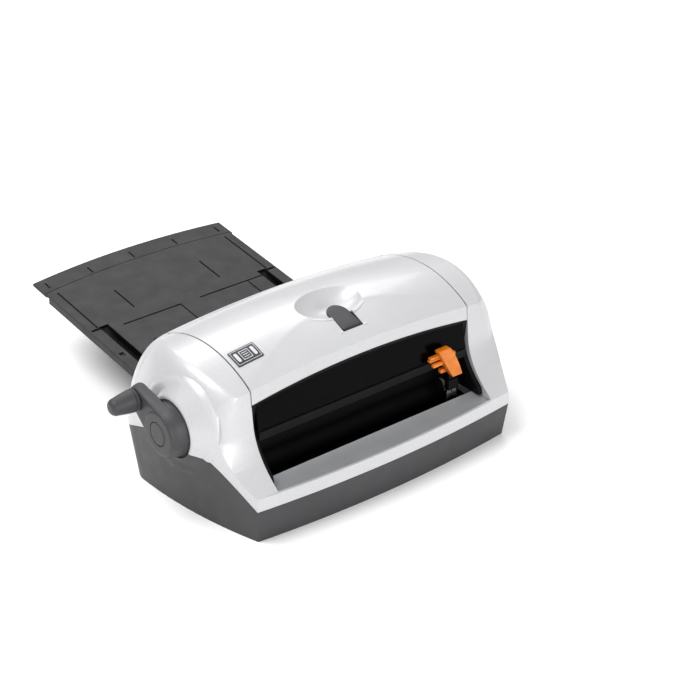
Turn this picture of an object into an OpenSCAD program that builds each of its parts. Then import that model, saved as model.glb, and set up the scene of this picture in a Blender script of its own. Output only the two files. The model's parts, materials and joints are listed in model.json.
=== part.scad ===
// Hand-cranked cold laminator with a drop-in film cartridge, a hinged lid with a
// smoked window below it, a travelling cutter and a folding feed tray.
// X runs along the rollers with the crank on -X, -Y is the output side, +Z is up.
// Working coordinates put X = 0 on the body's middle and Y = 0 on the front corners
// of the footprint; framed() moves them to the middle of the whole object's box.

/* [Body] */
// Half width of the footprint at its widest, towards the rear
side_x = 174; // [172:0.5:176]
// Radius of the bowed sides in plan
side_radius = 480; // [460:10:520]
// Depth of the footprint
body_depth = 178; // [176:1:182]
// Radius of the rear corners in plan
rear_corner_r = 25; // [20:1:28]
// Forward bow of the front wall at its middle
front_bow = 9; // [6:0.5:11]
// Lean of the base walls, as a slope
wall_draft = 0.125; // [0.1:0.005:0.14]
// Thickness of the housing walls
wall = 2.6; // [2.2:0.1:3]
// Height of the front edge where the base meets the housing
front_seam_z = 35.2; // [34:0.2:37]
// Highest point of the seam, under the crank
seam_peak_z = 80.5; // [79:0.5:82]

/* [Lid] */
// Half width of the lid
// Radius of the arched top, front to rear
top_r = 126; // [124:1:128]
// Rise of the top from the lid's ends to its middle
dome_rise = 8; // [7:0.5:9]
// Height of the lid's rear edge, where it hinges
lid_hinge_z = 97; // [95:0.5:99]

/* [Drive] */
// Position of the crank axis, along Y
crank_y = 84.8; // [84:0.2:86]
// Height of the crank axis
crank_z = 93.3; // [92:0.1:94]
// Length of the crank arm between its two axes
arm_len = 40.8; // [38:0.2:42]
// Angle of the crank arm above the horizontal, towards the rear
arm_angle = 29.4; // [20:0.2:40]
// Gear module
gear_module = 1.5; // [1.5:0.5:1.5]
// Teeth on the crank gear
crank_teeth = 36; // [36:1:36]
// Teeth on each roller gear
roller_teeth = 16; // [16:1:16]
// Height of the sheet's path through the rollers
path_z = 50; // [49:0.5:51]

/* [Cartridge] */
// Radius of a full film roll
film_r = 17.5; // [15:0.5:18]
// Half length of the film on a roll
film_half = 109; // [105:1:110]
// Distance between the two film rolls
roll_gap = 86; // [84:1:88]
// Lean of the cartridge towards the rear, degrees
cartridge_lean = 35; // [33:1:36]

/* [Tray] */
// Half width of the feed tray
tray_half = 120; // [116:1:122]
// Length of the tray from its hinge to its outer corners
tray_len = 250; // [240:2:254]
// Bow of the tray's outer edge
tray_bow = 9; // [6:1:10]
// Rise of the open tray, degrees
tray_rise = 6.56; // [5:0.1:8]

/* [Hidden] */

$fn = 48;
fit = 0.05;                                  // radial running clearance of every shaft
grey = [0.33, 0.33, 0.34];
pearl = [0.88, 0.88, 0.89];
black = [0.07, 0.07, 0.08];

// --- outline of the body ---------------------------------------------------
front_half = 150;                            // half width at the front corners
corner_y = body_depth - rear_corner_r;       // where the rear corners start
opening_half = 130;                          // half width of the front opening
sill_top_z = 49;
brow_y = 34.8;                               // front face of the lid at its top crease
brow_z = 121.5;                              // bottom of the brow at the lid's ends
top_mid_y = 102;                             // middle of the arched top
top_mid_z = 30;
crease_y = 90;                               // where the shoulder crease is widest
crease_half = 155;
crease_k = 0.00357;
rear_top_y = 165;
rear_wall_y = 184;

function plan_half(y) = side_x - pow(max(0, 150 - y), 2) / (2 * side_radius);
function rise_front(y) = 1 - pow(1 - (y + 4.5) / 54, 1.35);
function seam_z(y) =
    y <= -4.5 ? front_seam_z
    : y < 49.5 ? front_seam_z + 40 * rise_front(y)
    : y < crank_y ? seam_peak_z - 5.3 * pow((crank_y - y) / 35.3, 2)
    : seam_peak_z - 32 * pow((y - crank_y) / 99.2, 1.7);
function bow(x) = front_bow * (1 - pow(x / front_half, 2));
function front_y(x, z) = -wall_draft * min(z, front_seam_z) - bow(x);
function arch(y) = top_mid_z + sqrt(pow(top_r, 2) - pow(y - top_mid_y, 2));
function dome(x) = dome_rise * (1 - pow(x / opening_half, 2));
function top_z(x, y) = arch(y) + dome(x);
function crease_x(y) = crease_half - crease_k * pow(y - crease_y, 2);
function blend(a, b, v) =                    // quarter ellipse from a seam to a crease
    [b.x + (a.x - b.x) * sqrt(1 - v * v), b.y + (a.y - b.y) * sqrt(1 - v * v),
     a.z + (b.z - a.z) * v];

// Points of the body's convex outer form, moved in by t. Half of them; the rest mirror.
side_steps = [for (i = [0 : 9]) -4.4 + i * 15.7];
levels = [0, 0.3, 0.55, 0.75, 0.9, 1];
function side_seam(y, t) = [plan_half(y) + wall_draft * seam_z(y) - t, y, seam_z(y)];
function side_crease(y, t) = [crease_x(y) - t, y, top_z(crease_x(y), y) - t];
function corner_seam(a, t) = let (z = seam_z(corner_y + rear_corner_r * sin(a)),
    r = rear_corner_r + wall_draft * z - t)
    [side_x - rear_corner_r + r * cos(a), corner_y + r * sin(a), z];
function corner_crease(a, t) = let (x = 120 + (crease_x(corner_y) - 120) * cos(a),
    y = corner_y + (rear_top_y - corner_y) * sin(a)) [x - t * cos(a), y - t, top_z(x, y) - t];
function form_half(t) = concat(
    [for (y = concat([t], [for (i = [1 : 9]) i * 17])) [plan_half(y) - t, y, 0]],
    [for (a = [0 : 30 : 90]) [side_x - rear_corner_r + (rear_corner_r - t) * cos(a),
        corner_y + (rear_corner_r - t) * sin(a), 0]],
    [for (y = side_steps) each [for (v = levels)
        blend(side_seam(max(y, t - 4.4), t), side_crease(max(y, t - 4.4), t), v)]],
    [for (a = [0 : 30 : 90]) each [for (v = levels) blend(corner_seam(a, t),
        corner_crease(a, t), v)]],
    [for (x = [0 : 37.5 : front_half]) each [for (z = [0, front_seam_z, sill_top_z + 2])
        [x, front_y(x, z) + t, z]]],
    [for (x = [0 : 30 : 120]) each [for (y = [-4.4 : 17 : rear_top_y])
        [x, y + (y < 0 ? t : 0), top_z(x, y) - t]]],
    [for (x = [0 : 60 : 120]) each [for (v = levels)
        blend([x, rear_wall_y - t, 48], [x, rear_top_y - t, top_z(x, rear_top_y) - t], v)]]);
function mirrored(p) = concat(p, [for (q = p) [-q.x, q.y, q.z]]);

module form(t) {
    points = mirrored(form_half(t));
    hull() polyhedron(points, [[for (i = [0 : len(points) - 1]) i]]);
}

// --- shared helpers ----------------------------------------------------------
frame_x = 22;                                // from the body's frame to the box's middle
frame_y = -217;
module framed() translate([frame_x, frame_y, 0]) children();
module along_x(x0, x1) translate([x0, 0, 0]) rotate([90, 0, 90]) linear_extrude(x1 - x0)
    children();
module rod_x(x0, x1, y, z, r) translate([x0, y, z]) rotate([0, 90, 0])
    cylinder(h = x1 - x0, r = r);
module block(a, b) translate(a) cube(b - a);
module both_ends() {
    children();
    mirror([1, 0, 0]) children();
}
function bezier(a, b, c, n) = [for (i = [0 : n]) let (t = i / n)
    (1 - t) * (1 - t) * a + 2 * t * (1 - t) * b + t * t * c];

// Side view of the concave front of the cheeks, from the sill up to the brow
cheek_curve = bezier([-4.7, sill_top_z], [26, 70], [31, 98], 8);
module front_void(t) along_x(-220, 220) polygon(concat([[-60, sill_top_z - t],
    [-4.7 + t, sill_top_z - t]], [for (p = cheek_curve) [p.x + t, p.y - t / 2]],
    [[33.3 + t, brow_z], [brow_y + t, 138.5], [brow_y + t, 220], [-60, 220]]));
module below_seam(drop) along_x(-220, 220) polygon(concat(
    [[-60, -10], [-60, front_seam_z - drop]],
    [for (i = [0 : 9]) let (y = -4.5 + i * 6) [y, seam_z(y) - drop]],
    [for (i = [0 : 13]) let (y = 56 + i * 10) [y, seam_z(y) - drop]],
    [[220, seam_z(186) - drop], [220, -10]]));
module shell() difference() {
    form(0);
    difference() {
        form(wall);
        front_void(wall);
    }
    front_void(0);
}
brow_rise = 9.5;                             // rise of the brow's lower edge at its middle
function brow_edge(x) = brow_z + brow_rise * (1 - pow(x / opening_half, 2));
module brow_zone(low, drop) translate([0, 60, 0]) rotate([90, 0, 0]) linear_extrude(40)
    polygon(concat([[125.2, low], [-125.2, low]],
        [for (i = [-10 : 10]) [i * 12.52, brow_edge(i * 12.52) - drop]]));
module lid_zone(gap) along_x(-opening_half - gap, opening_half + gap)
    polygon([[20, brow_z - 2], [20, 220], [220, 220], [220, lid_hinge_z + 0.3 - gap],
        [48, lid_hinge_z + 0.3 - gap], [48, brow_z - 2]]);

// --- fasteners and shafts -----------------------------------------------------
roller_y = crank_y - sqrt(pow(39, 2) - pow(crank_z - path_z - 12, 2));
lower_z = path_z - 12;
upper_z = path_z + 12;
shaft_r = 4;
bush_r = 7;
frame_in = 124;                              // inner and outer faces of the side frames
frame_out = 127;
nip_rivet_z = upper_z + 30;
gear_x0 = -139;
gear_x1 = -131;
screw_spots = [[-138, 24], [138, 24], [-158, 140], [158, 140]];
post_split = 30;                             // where the base's screw posts meet the housing's
foot_spots = [[-128, 16], [128, 16], [-140, 160], [140, 160]];

// --- base and housing ----------------------------------------------------------
module boss_ring() translate([0, crank_y, crank_z]) rotate([0, -90, 0])
    translate([0, 0, 168.5]) cylinder(h = 14, r1 = 47.5, r2 = 30.5);
module crank_dish() rod_x(-190, -180.2, crank_y, crank_z, 28.4);
module base_pan() color(grey) framed() {
    difference() {
        union() {
            intersection() {
                shell();
                below_seam(0);
            }
            intersection() {
                form(1);
                block([-200, -40, 0], [200, 220, 3]);
            }
            intersection() {
                difference() {
                    boss_ring();
                    form(1);
                }
                below_seam(0);
            }
            for (s = screw_spots) translate([s.x, s.y, 2])
                cylinder(h = post_split - 2, r = 4.5);
        }
        crank_dish();
        for (s = screw_spots) translate([s.x, s.y, -1]) {
            cylinder(h = 40, r = 1.9);
            cylinder(h = 4.8, r = 3.6);
        }
        for (s = foot_spots) translate([s.x, s.y, -1]) cylinder(h = 2.5, r = 7);
    }
}
module rubber_feet() color(black) framed()
    for (s = foot_spots) translate([s.x, s.y, 0]) cylinder(h = 1.5, r = 6.9);
module base_screws() color("silver") framed()
    for (s = screw_spots) translate([s.x, s.y, 1.2]) {
        difference() {
            cylinder(h = 2.6, r = 3.2);
            block([-2.2, -0.4, -1], [2.2, 0.4, 0.9]);
            block([-0.4, -2.2, -1], [0.4, 2.2, 0.9]);
        }
        cylinder(h = 38, r = 1.6);
    }
module screw_post(s, top) difference() {
    union() {
        translate([s.x, s.y, post_split + 0.3]) cylinder(h = top - post_split, r = 6);
        intersection() {
            block([min(s.x, s.x * 1.2), s.y - 1.5, top - 14],
                [max(s.x, s.x * 1.2), s.y + 1.5, top]);
            form(1);
        }
    }
    translate([s.x, s.y, 0]) cylinder(h = 42, r = 1.6);
}
module cheek_linings() both_ends() block([opening_half, -6, 38], [opening_half + 2, 46, 140]);
module upper_housing() color(pearl) framed() {
    for (s = screw_spots) if (s.y < 100) difference() {
        translate([s.x, s.y, post_split + 0.3]) cylinder(h = 20, r = 6.2);
        translate([s.x, s.y, 0]) cylinder(h = 42, r = 1.6);
    }
    for (s = screw_spots) if (s.y > 100) screw_post(s, 92);
    intersection() {
        cheek_linings();
        difference() {
            form(wall + 0.3);
            front_void(0.3);
        }
    }
    difference() {
        union() {
            difference() {
                shell();
                lid_zone(0.4);
                block([-opening_half, -60, sill_top_z], [opening_half, 48, 150]);
            }
            intersection() {
                boss_ring();
                difference() {
                    rod_x(-190, -160, crank_y, crank_z, 60);
                    form(1);
                }
            }
        }
        below_seam(-0.3);
        crank_dish();
        rod_x(-200, -160, crank_y, crank_z, 9);
        block([-122, 160, 44], [122, 200, 62]);
        deck_outline(0.2, sill_top_z - 6, sill_top_z + 4);
        both_ends() {
            hinge_recess(0.4);
            for (x = [97.9, 112.2]) block([x, 170, hinge_z - 12.1], [x + 5.9, 200, hinge_z]);
        }
    }
}
module deck_outline(gap, z0, z1) translate([0, 0, z0]) linear_extrude(z1 - z0)
    polygon(concat([for (i = [-8 : 8]) let (x = i * (129.4 + gap) / 8)
        [x, front_y(x, 40) + wall + 0.4 - gap]],
        [[129.4 + gap, 19 + gap], [-129.4 - gap, 19 + gap]]));
deck_dip = bezier([-16, sill_top_z - 0.4], [8, sill_top_z - 4], [19, sill_top_z + 0.4], 6);
module output_deck() color([0.58, 0.59, 0.61]) framed() intersection() {
    deck_outline(0, 0, 60);
    along_x(-150, 150) polygon(concat(deck_dip, [[19, sill_top_z - 5], [-16, sill_top_z - 5]]));
}

// --- inner frames ----------------------------------------------------------------
module side_plate(x0, x1) difference() {
    along_x(x0, x1) polygon([[40, 3.2], [172, 3.2], [172, 60], [158, 124], [128, 137],
        [70, 132], [44, 112], [44, 46], [40, 40]]);
    for (z = [lower_z, upper_z]) rod_x(x0 - 1, x1 + 1, roller_y, z, bush_r);
    rod_x(x0 - 1, x1 + 1, crank_y, crank_z, bush_r);
    for (p = rod_spots) rod_x(x0 - 1, x1 + 1, p.x, p.y, 2);
    rod_x(x0 - 1, x1 + 1, roller_y, nip_rivet_z, 1.5);
}
rod_spots = [[50, 12], [165, 12], [163, 70]];
module left_side_frame() color([0.2, 0.2, 0.21]) framed() side_plate(-frame_out, -frame_in);
module right_side_frame() color([0.2, 0.2, 0.21]) framed() side_plate(frame_in, frame_out);
module frame_tie_rods() color("silver") framed() for (p = rod_spots) {
    rod_x(-frame_in, frame_in, p.x, p.y, 3);
    both_ends() {
        rod_x(frame_in - 1, frame_out + 1, p.x, p.y, 1.98);
        rod_x(frame_out, frame_out + 2.4, p.x, p.y, 3.6);
    }
}
module bush(y, z) difference() {
    union() {
        rod_x(frame_in, frame_out + 1, y, z, bush_r - 0.02);
        rod_x(frame_out, frame_out + 1.6, y, z, bush_r + 2);
    }
    rod_x(frame_in - 1, frame_out + 5, y, z, shaft_r + fit);
}
module shaft_bushes() color([0.85, 0.83, 0.75]) framed() {
    for (z = [lower_z, upper_z]) both_ends() bush(roller_y, z);
    mirror([1, 0, 0]) bush(crank_y, crank_z);
}
module feed_table() color(black) framed() {
    along_x(-121, 121) polygon([[128, path_z - 5], [128, path_z - 3], [132, path_z - 1.5],
        [180.4, path_z - 1.5], [180.4, path_z - 4.5], [176, path_z - 4.5],
        [134, path_z - 4.5]]);
    both_ends() block([121, 140, path_z - 4.5], [frame_in - 0.02, 170, path_z + 4]);
}

// --- gears --------------------------------------------------------------------------
pressure = 20;
backlash = 0.10;
function involute(rb, r) = let (t = acos(rb / r)) tan(t) * 180 / PI - t;
function gear_outline(teeth, phase) = let (
    rp = gear_module * teeth / 2, rb = rp * cos(pressure), tip = rp + 0.85 * gear_module,
    root = rp - 1.15 * gear_module, half = 90 / teeth * (1 - backlash) + involute(rb, rp),
    start = max(rb + 0.01, root + 0.05),
    radii = [for (i = [0 : 3]) start + (tip - start) * i / 3])
    [for (k = [0 : teeth - 1]) let (c = phase + 360 * k / teeth) each concat(
        [root * [cos(c - half - 0.6), sin(c - half - 0.6)]],
        [for (r = radii) let (a = c - half + involute(rb, r)) r * [cos(a), sin(a)]],
        [for (i = [3 : -1 : 0]) let (r = radii[i], a = c + half - involute(rb, r))
            r * [cos(a), sin(a)]],
        [root * [cos(c + half + 0.6), sin(c + half + 0.6)]])];
mesh_angle = atan2(upper_z - crank_z, roller_y - crank_y);
upper_phase = mesh_angle + 180 + 180 / roller_teeth;
lower_phase = -upper_phase + 180 / roller_teeth;
module gear(teeth, phase, y, z) difference() {
    translate([0, y, z]) along_x(gear_x0, gear_x1) polygon(gear_outline(teeth, phase));
    rod_x(gear_x0 - 1, gear_x1 + 1, y, z, shaft_r);
}
module crank_gear() color([0.9, 0.9, 0.86]) framed() difference() {
    gear(crank_teeth, mesh_angle, crank_y, crank_z);
    for (a = [0 : 60 : 300]) rod_x(gear_x0 - 1, gear_x1 + 1,
        crank_y + 15 * cos(a), crank_z + 15 * sin(a), 4.5);
}
module upper_roller_gear() color([0.9, 0.9, 0.86]) framed()
    gear(roller_teeth, upper_phase, roller_y, upper_z);
module lower_roller_gear() color([0.9, 0.9, 0.86]) framed()
    gear(roller_teeth, lower_phase, roller_y, lower_z);

// --- crank ----------------------------------------------------------------------------
hub_r = 26.5;
hub_x0 = -181.2;
hub_x1 = -198.6;
arm_x = -187.5;
knob_y = crank_y + arm_len * cos(arm_angle);
knob_z = crank_z + arm_len * sin(arm_angle);
module crank_arm() color(grey) framed() difference() {
    union() {
        translate([hub_x1 + 2.5, crank_y, crank_z]) rotate([0, 90, 0])
            cylinder(h = hub_x0 - hub_x1 - 2.5, r1 = hub_r - 1.8, r2 = hub_r);
        translate([hub_x1, crank_y, crank_z]) rotate([0, 90, 0])
            cylinder(h = 2.5, r1 = hub_r - 4.5, r2 = hub_r - 1.8);
        along_x(hub_x1 + 0.8, arm_x) hull() {
            translate([crank_y, crank_z]) circle(r = 24);
            translate([knob_y, knob_z]) circle(r = 13.4);
        }
    }
    rod_x(hub_x1 - 1, hub_x1 + 1.6, crank_y, crank_z, 12);
    rod_x(hub_x1 + 1, hub_x0 + 1, crank_y, crank_z, shaft_r);
    rod_x(hub_x1 - 1, arm_x + 1, knob_y, knob_z, 2.5);
}
module crank_cap() color(grey) framed()
    rod_x(hub_x1 - 0.3, hub_x1 + 1.55, crank_y, crank_z, 11.4);
module crank_shaft() color("silver") framed() {
    rod_x(hub_x1 + 1.6, -123.6, crank_y, crank_z, shaft_r);
    rod_x(gear_x1 + 0.1, gear_x1 + 1.1, crank_y, crank_z, 6.5);
    rod_x(gear_x0 - 1.1, gear_x0 - 0.1, crank_y, crank_z, 6.5);
}
module crank_bush() color([0.85, 0.83, 0.75]) framed() difference() {
    union() {
        rod_x(-180.1, -172, crank_y, crank_z, 8.98);
        rod_x(-175, -169.5, crank_y, crank_z, 8.98);
    }
    rod_x(-190, -160, crank_y, crank_z, shaft_r + fit);
}
module crank_knob() color(grey) framed() difference() {
    translate([hub_x1 + 0.5, knob_y, knob_z]) rotate([0, -90, 0]) rotate_extrude()
        polygon(concat([[0, 0.5], [10.6, 0.5], [11, 1.5]],
            [for (i = [0 : 6]) [11 - 2.6 * pow(i / 6, 1.3), 4 + 17.5 * i / 6]],
            [for (a = [15 : 15 : 90]) [2.4 + 6 * cos(a), 21.5 + 6 * sin(a)]], [[0, 27.5]]));
    rod_x(hub_x1 - 20, hub_x1 + 1, knob_y, knob_z, 2.5 + fit);
}
module knob_pin() color("silver") framed() {
    rod_x(hub_x1 - 19, arm_x + 0.2, knob_y, knob_z, 2.5);
    rod_x(arm_x + 0.2, arm_x + 1.8, knob_y, knob_z, 5);
}

// --- nip rollers ------------------------------------------------------------------------
sleeve_r = 11.85;
sleeve_half = 117;
module roller_shaft(z) {
    rod_x(gear_x0 - 2.4, frame_out + 3, roller_y, z, shaft_r);
    both_ends() rod_x(sleeve_half + 0.4, sleeve_half + 3.4, roller_y, z, 5.5);
}
module sleeve(z) difference() {
    rod_x(-sleeve_half, sleeve_half, roller_y, z, sleeve_r);
    rod_x(-sleeve_half - 1, sleeve_half + 1, roller_y, z, shaft_r);
}
module lower_roller_shaft() color("silver") framed() roller_shaft(lower_z);
module upper_roller_shaft() color("silver") framed() roller_shaft(upper_z);
module lower_roller_sleeve() color([0.25, 0.25, 0.26]) framed() sleeve(lower_z);
module upper_roller_sleeve() color([0.25, 0.25, 0.26]) framed() sleeve(upper_z);
module nip_springs() color("silver") framed() both_ends() {
    along_x(frame_out, frame_out + 1.2) polygon([[roller_y - 3, upper_z + 9.1],
        [roller_y + 3, upper_z + 9.1], [roller_y + 6, upper_z + 36],
        [roller_y - 6, upper_z + 36]]);
    rod_x(frame_in + 0.2, frame_out + 2, roller_y, nip_rivet_z, 1.48);
}

// --- window and cutter -------------------------------------------------------------------
frame_front = 34.4;
frame_back = 41.5;
tab_half = 12;                               // the tab that carries the latch catch
tab_rise = 8;                                // reaches into the arched bar
module window_frame() color(black) framed() {
    both_ends() along_x(125, 129.6) polygon(concat([[8, sill_top_z + 0.7]],
        [for (p = cheek_curve) if (p.x > 3) [p.x + 5.5, p.y + 1]],
        [[33.6, brow_z - 0.6], [frame_back, brow_z - 0.6], [frame_back, sill_top_z + 0.7]]));
    intersection() {
        difference() {
            brow_zone(110, 0.6);
            brow_zone(90, 3.2);
        }
        block([-130, frame_front, 100], [130, frame_back, 140]);
    }
    block([-tab_half, 38.6, 117], [tab_half, frame_back, brow_z + tab_rise]);
}
module window() color([0.1, 0.1, 0.12, 0.6]) framed() intersection() {
    along_x(-124.9, 124.9) polygon([[31.6, 93.5], [35.5, 131.5], [37.7, 131.5],
        [33.8, 93.5]]);
    brow_zone(80, 3.4);
}
module cutter_rail() color(black) framed() along_x(-124.9, 124.9)
    polygon([[29.6, 84], [29.6, 92.5], [32, 92.5], [32, 93.4], [37, 93.4], [37, 84],
        [33, 84], [33, 86], [31.6, 86], [31.6, 84]]);
slider_x = 104;                              // rest position of the cutter
module cutter_slider() color("orange") framed() translate([slider_x, 0, 0]) {
    hull() {
        block([-20, 21, 102], [-5, 29.2, 106]);
        block([-12, 16, 92], [1.5, 27, 95]);
        block([-8, 13.5, 78], [4, 21, 81]);
    }
    block([-10, 24.6, 82.2], [4, 29.2, 98]);
    block([-29, 24, 95.5], [-12, 29.2, 100]);
    block([-27, 21, 90.5], [-8, 26, 94.5]);
    block([-15, 24, 79], [-5, 29.2, 84]);
}
module cutter_arm() color(black) framed() translate([slider_x, 0, 0]) {
    block([-6, 22.5, 58], [6, 28.8, 68.8]);
    block([-4, 24.6, 66], [4, 29.2, 81.8]);
    block([-4, 29.2, 76], [4, 37.6, 83.6]);
    block([-4, 37.4, 76], [4, 39.4, 92]);
}
module cutter_blade() color("silver") framed() translate([slider_x, 25.3, 0])
    rotate([90, 0, 0]) linear_extrude(0.6) difference() {
        polygon([[-7, 46], [-5.5, 58], [5.5, 58], [7, 46], [0, 50.5]]);
        translate([0, 55]) circle(r = 1);
    }

// --- lid ------------------------------------------------------------------------------------
hinge_y = 181.4;                             // hinge axis just outside the rear wall
hinge_z = lid_hinge_z - 0.6;
hinge_r = 3.6;
latch_y = 51.5;
latch_z = 147.6;
tongue_half = 11;                            // half width of the tongue
tongue_front = 50.2;
tongue_end_y = 72;                           // middle of its round end
slot_half = 12;
slot_front = 48.5;                           // clears the tongue's front edge as it turns
slot_floor = 130;
hook_half = 6;
hook_z = 113.6;
hook_t = 3;
scoop_y = 85;
scoop_r = 40;
scoop_z = top_z(0, scoop_y) + 27;
module hinge_recess(gap) block([96 - gap, hinge_y - 5, hinge_z - 5 - gap],
    [120 + gap, hinge_y + 8, hinge_z + 8]);
module lid_shell() color(pearl) framed() difference() {
    union() {
        difference() {
            intersection() {
                shell();
                lid_zone(-0.3);
            }
            both_ends() hinge_recess(-1.5);
        }
        intersection() {
            translate([0, scoop_y, scoop_z]) sphere(r = scoop_r + 2.5);
            form(0.5);
            block([-60, 44, 120], [60, 140, 180]);
        }
        both_ends() {
            block([104, 176, 92.8], [112, 179.2, 108]);
            rod_x(104, 112, hinge_y, hinge_z, hinge_r);
            block([12.2, 47.5, 144.5], [15.4, 56, 151.2]);
        }
    }
    translate([0, scoop_y, scoop_z]) sphere(r = scoop_r);
    translate([0, 60, 0]) rotate([90, 0, 0]) linear_extrude(40) polygon(concat(
        [[140, 90], [-140, 90], [-140, brow_z]],
        [for (i = [-10 : 10]) [i * 13, brow_edge(i * 13)]], [[140, brow_z]]));
    block([-slot_half, slot_front, slot_floor], [slot_half, tongue_end_y, 180]);
    block([-slot_half, 46.2, slot_floor], [slot_half, 49.7, 150.3]);
    both_ends() {
        rod_x(100, 116, hinge_y, hinge_z, 1.8 + fit);
        rod_x(11, 14.6, latch_y, latch_z, 1.5);
    }
}
module lid_hinge_pins() color("silver") framed() both_ends()
    rod_x(98.2, 117.8, hinge_y, hinge_z, 1.8);
module lid_hinge_brackets() color(grey) framed() both_ends() difference() {
    for (x = [98, 112.3]) {
        block([x, 176, hinge_z - 12], [x + 5.7, hinge_y, hinge_z - 4]);
        block([x, 178.6, hinge_z - 6], [x + 5.7, hinge_y, hinge_z]);
        rod_x(x, x + 5.7, hinge_y, hinge_z, hinge_r);
    }
    rod_x(97, 119, hinge_y, hinge_z, 1.8);
}
module latch_lever() color(grey) framed() difference() {
    union() {
        hull() {
            block([-tongue_half, tongue_front, 150.6],
                [tongue_half, tongue_front + 1, 153.4]);
            translate([0, tongue_end_y, 157.2]) cylinder(h = 3, r = tongue_half, $fn = 32);
        }
        rod_x(-9, 9, latch_y, latch_z, 2.8);
        block([-hook_half, 50.4, hook_z], [hook_half, 52.6, 152]);
        block([-hook_half, 45.5, hook_z], [hook_half, 52.6, hook_z + hook_t]);
    }
    rod_x(-12, 12, latch_y, latch_z, 1.5 + fit);
}
module latch_pin() color("silver") framed() rod_x(-14.5, 14.5, latch_y, latch_z, 1.5);
module latch_spring() color("silver") framed() both_ends() difference() {
    rod_x(9.3, 11.7, latch_y, latch_z, 2.15);
    rod_x(9, 12, latch_y, latch_z, 1.6);
}
module latch_catch() color(black) framed() block([-10, 41.5, 118], [10, 44.2, 120.8]);
module badge_plate() color([0.15, 0.15, 0.16]) framed()
    translate([-111.2, 66.7, top_z(-111.2, 66.7) + 0.15]) rotate([16.3, -6, 0])
    block([-14.2, -9.8, 0], [14.2, 9.8, 0.9]);

// --- cartridge -------------------------------------------------------------------------------
cart_y = 90;
cart_z = 27;
function cart(d, w) = [cart_y + w * sin(cartridge_lean) + d * cos(cartridge_lean),
    cart_z + w * cos(cartridge_lean) - d * sin(cartridge_lean)];
upper_roll = cart(0, roll_gap);
lower_roll = cart(0, 0);
module cartridge_frame() color(black) framed() {
    both_ends() difference() {
        along_x(118.6, 121.6) polygon([cart(-12, -22), cart(10, -20.6), cart(20, -8),
            cart(20, 16), cart(15, 28), cart(15, 62), cart(20, 76), cart(20, 100),
            cart(12, 116), cart(-12, 116), cart(-19, 100), cart(-19, 76), cart(-12, 60),
            cart(-12, 26), cart(-19, 12), cart(-19, -8)]);
        for (c = [upper_roll, lower_roll]) rod_x(117, 123, c.x, c.y, 5);
    }
    along_x(-118.7, 118.7) polygon([cart(-9, 111), cart(9, 111), cart(9, 114),
        cart(-9, 114)]);
    along_x(-118.7, 118.7) polygon([cart(6, -22), cart(9, -22), cart(9, -19), cart(6, -19)]);
    along_x(-44, 44) polygon([cart(-2, 113.5), cart(2, 113.5), cart(2, 127), cart(-2, 127)]);
}
module film_guide() color(black) framed() {
    along_x(-118.5, 118.5) polygon([[80, 46.2], [80, 48], [118, 48], [122, 52], [124, 52],
        [124, 50], [119, 46.2]]);
    for (i = [-14 : 14]) block([i * 8 - 0.6, 84, 47.9], [i * 8 + 0.6, 117, 48.7]);
}
module film_flap() color([0.5, 0.5, 0.52, 0.4]) framed() difference() {
    along_x(-112, 112) polygon([[96, 54.2], [96, 55], [122, 66], [122.5, 65.2]]);
    for (i = [-2 : 2]) translate([i * 48, 92, 50]) cylinder(h = 12, r = 12);
}
module core(c) difference() {
    rod_x(-116, 116, c.x, c.y, 10);
    rod_x(-117, 117, c.x, c.y, 7.5);
}
module film(c) difference() {
    rod_x(-film_half, film_half, c.x, c.y, film_r);
    rod_x(-film_half - 1, film_half + 1, c.x, c.y, 10);
}
module roll_hubs(c) both_ends() difference() {
    union() {
        rod_x(108, 116.2, c.x, c.y, 7.45);
        rod_x(116.2, 118.3, c.x, c.y, 14.5);
        rod_x(118.3, 122.8, c.x, c.y, 5 - fit);
    }
    for (a = [0 : 60 : 300]) rod_x(115, 119, c.x + 10.8 * cos(a), c.y + 10.8 * sin(a), 2.4);
}
module upper_core() color("white") framed() core(upper_roll);
module upper_film() color([0.9, 0.87, 0.78]) framed() film(upper_roll);
module upper_roll_hubs() color(black) framed() roll_hubs(upper_roll);
module lower_core() color("white") framed() core(lower_roll);
module lower_film() color([0.9, 0.87, 0.78]) framed() film(lower_roll);
module lower_roll_hubs() color(black) framed() roll_hubs(lower_roll);

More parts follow.
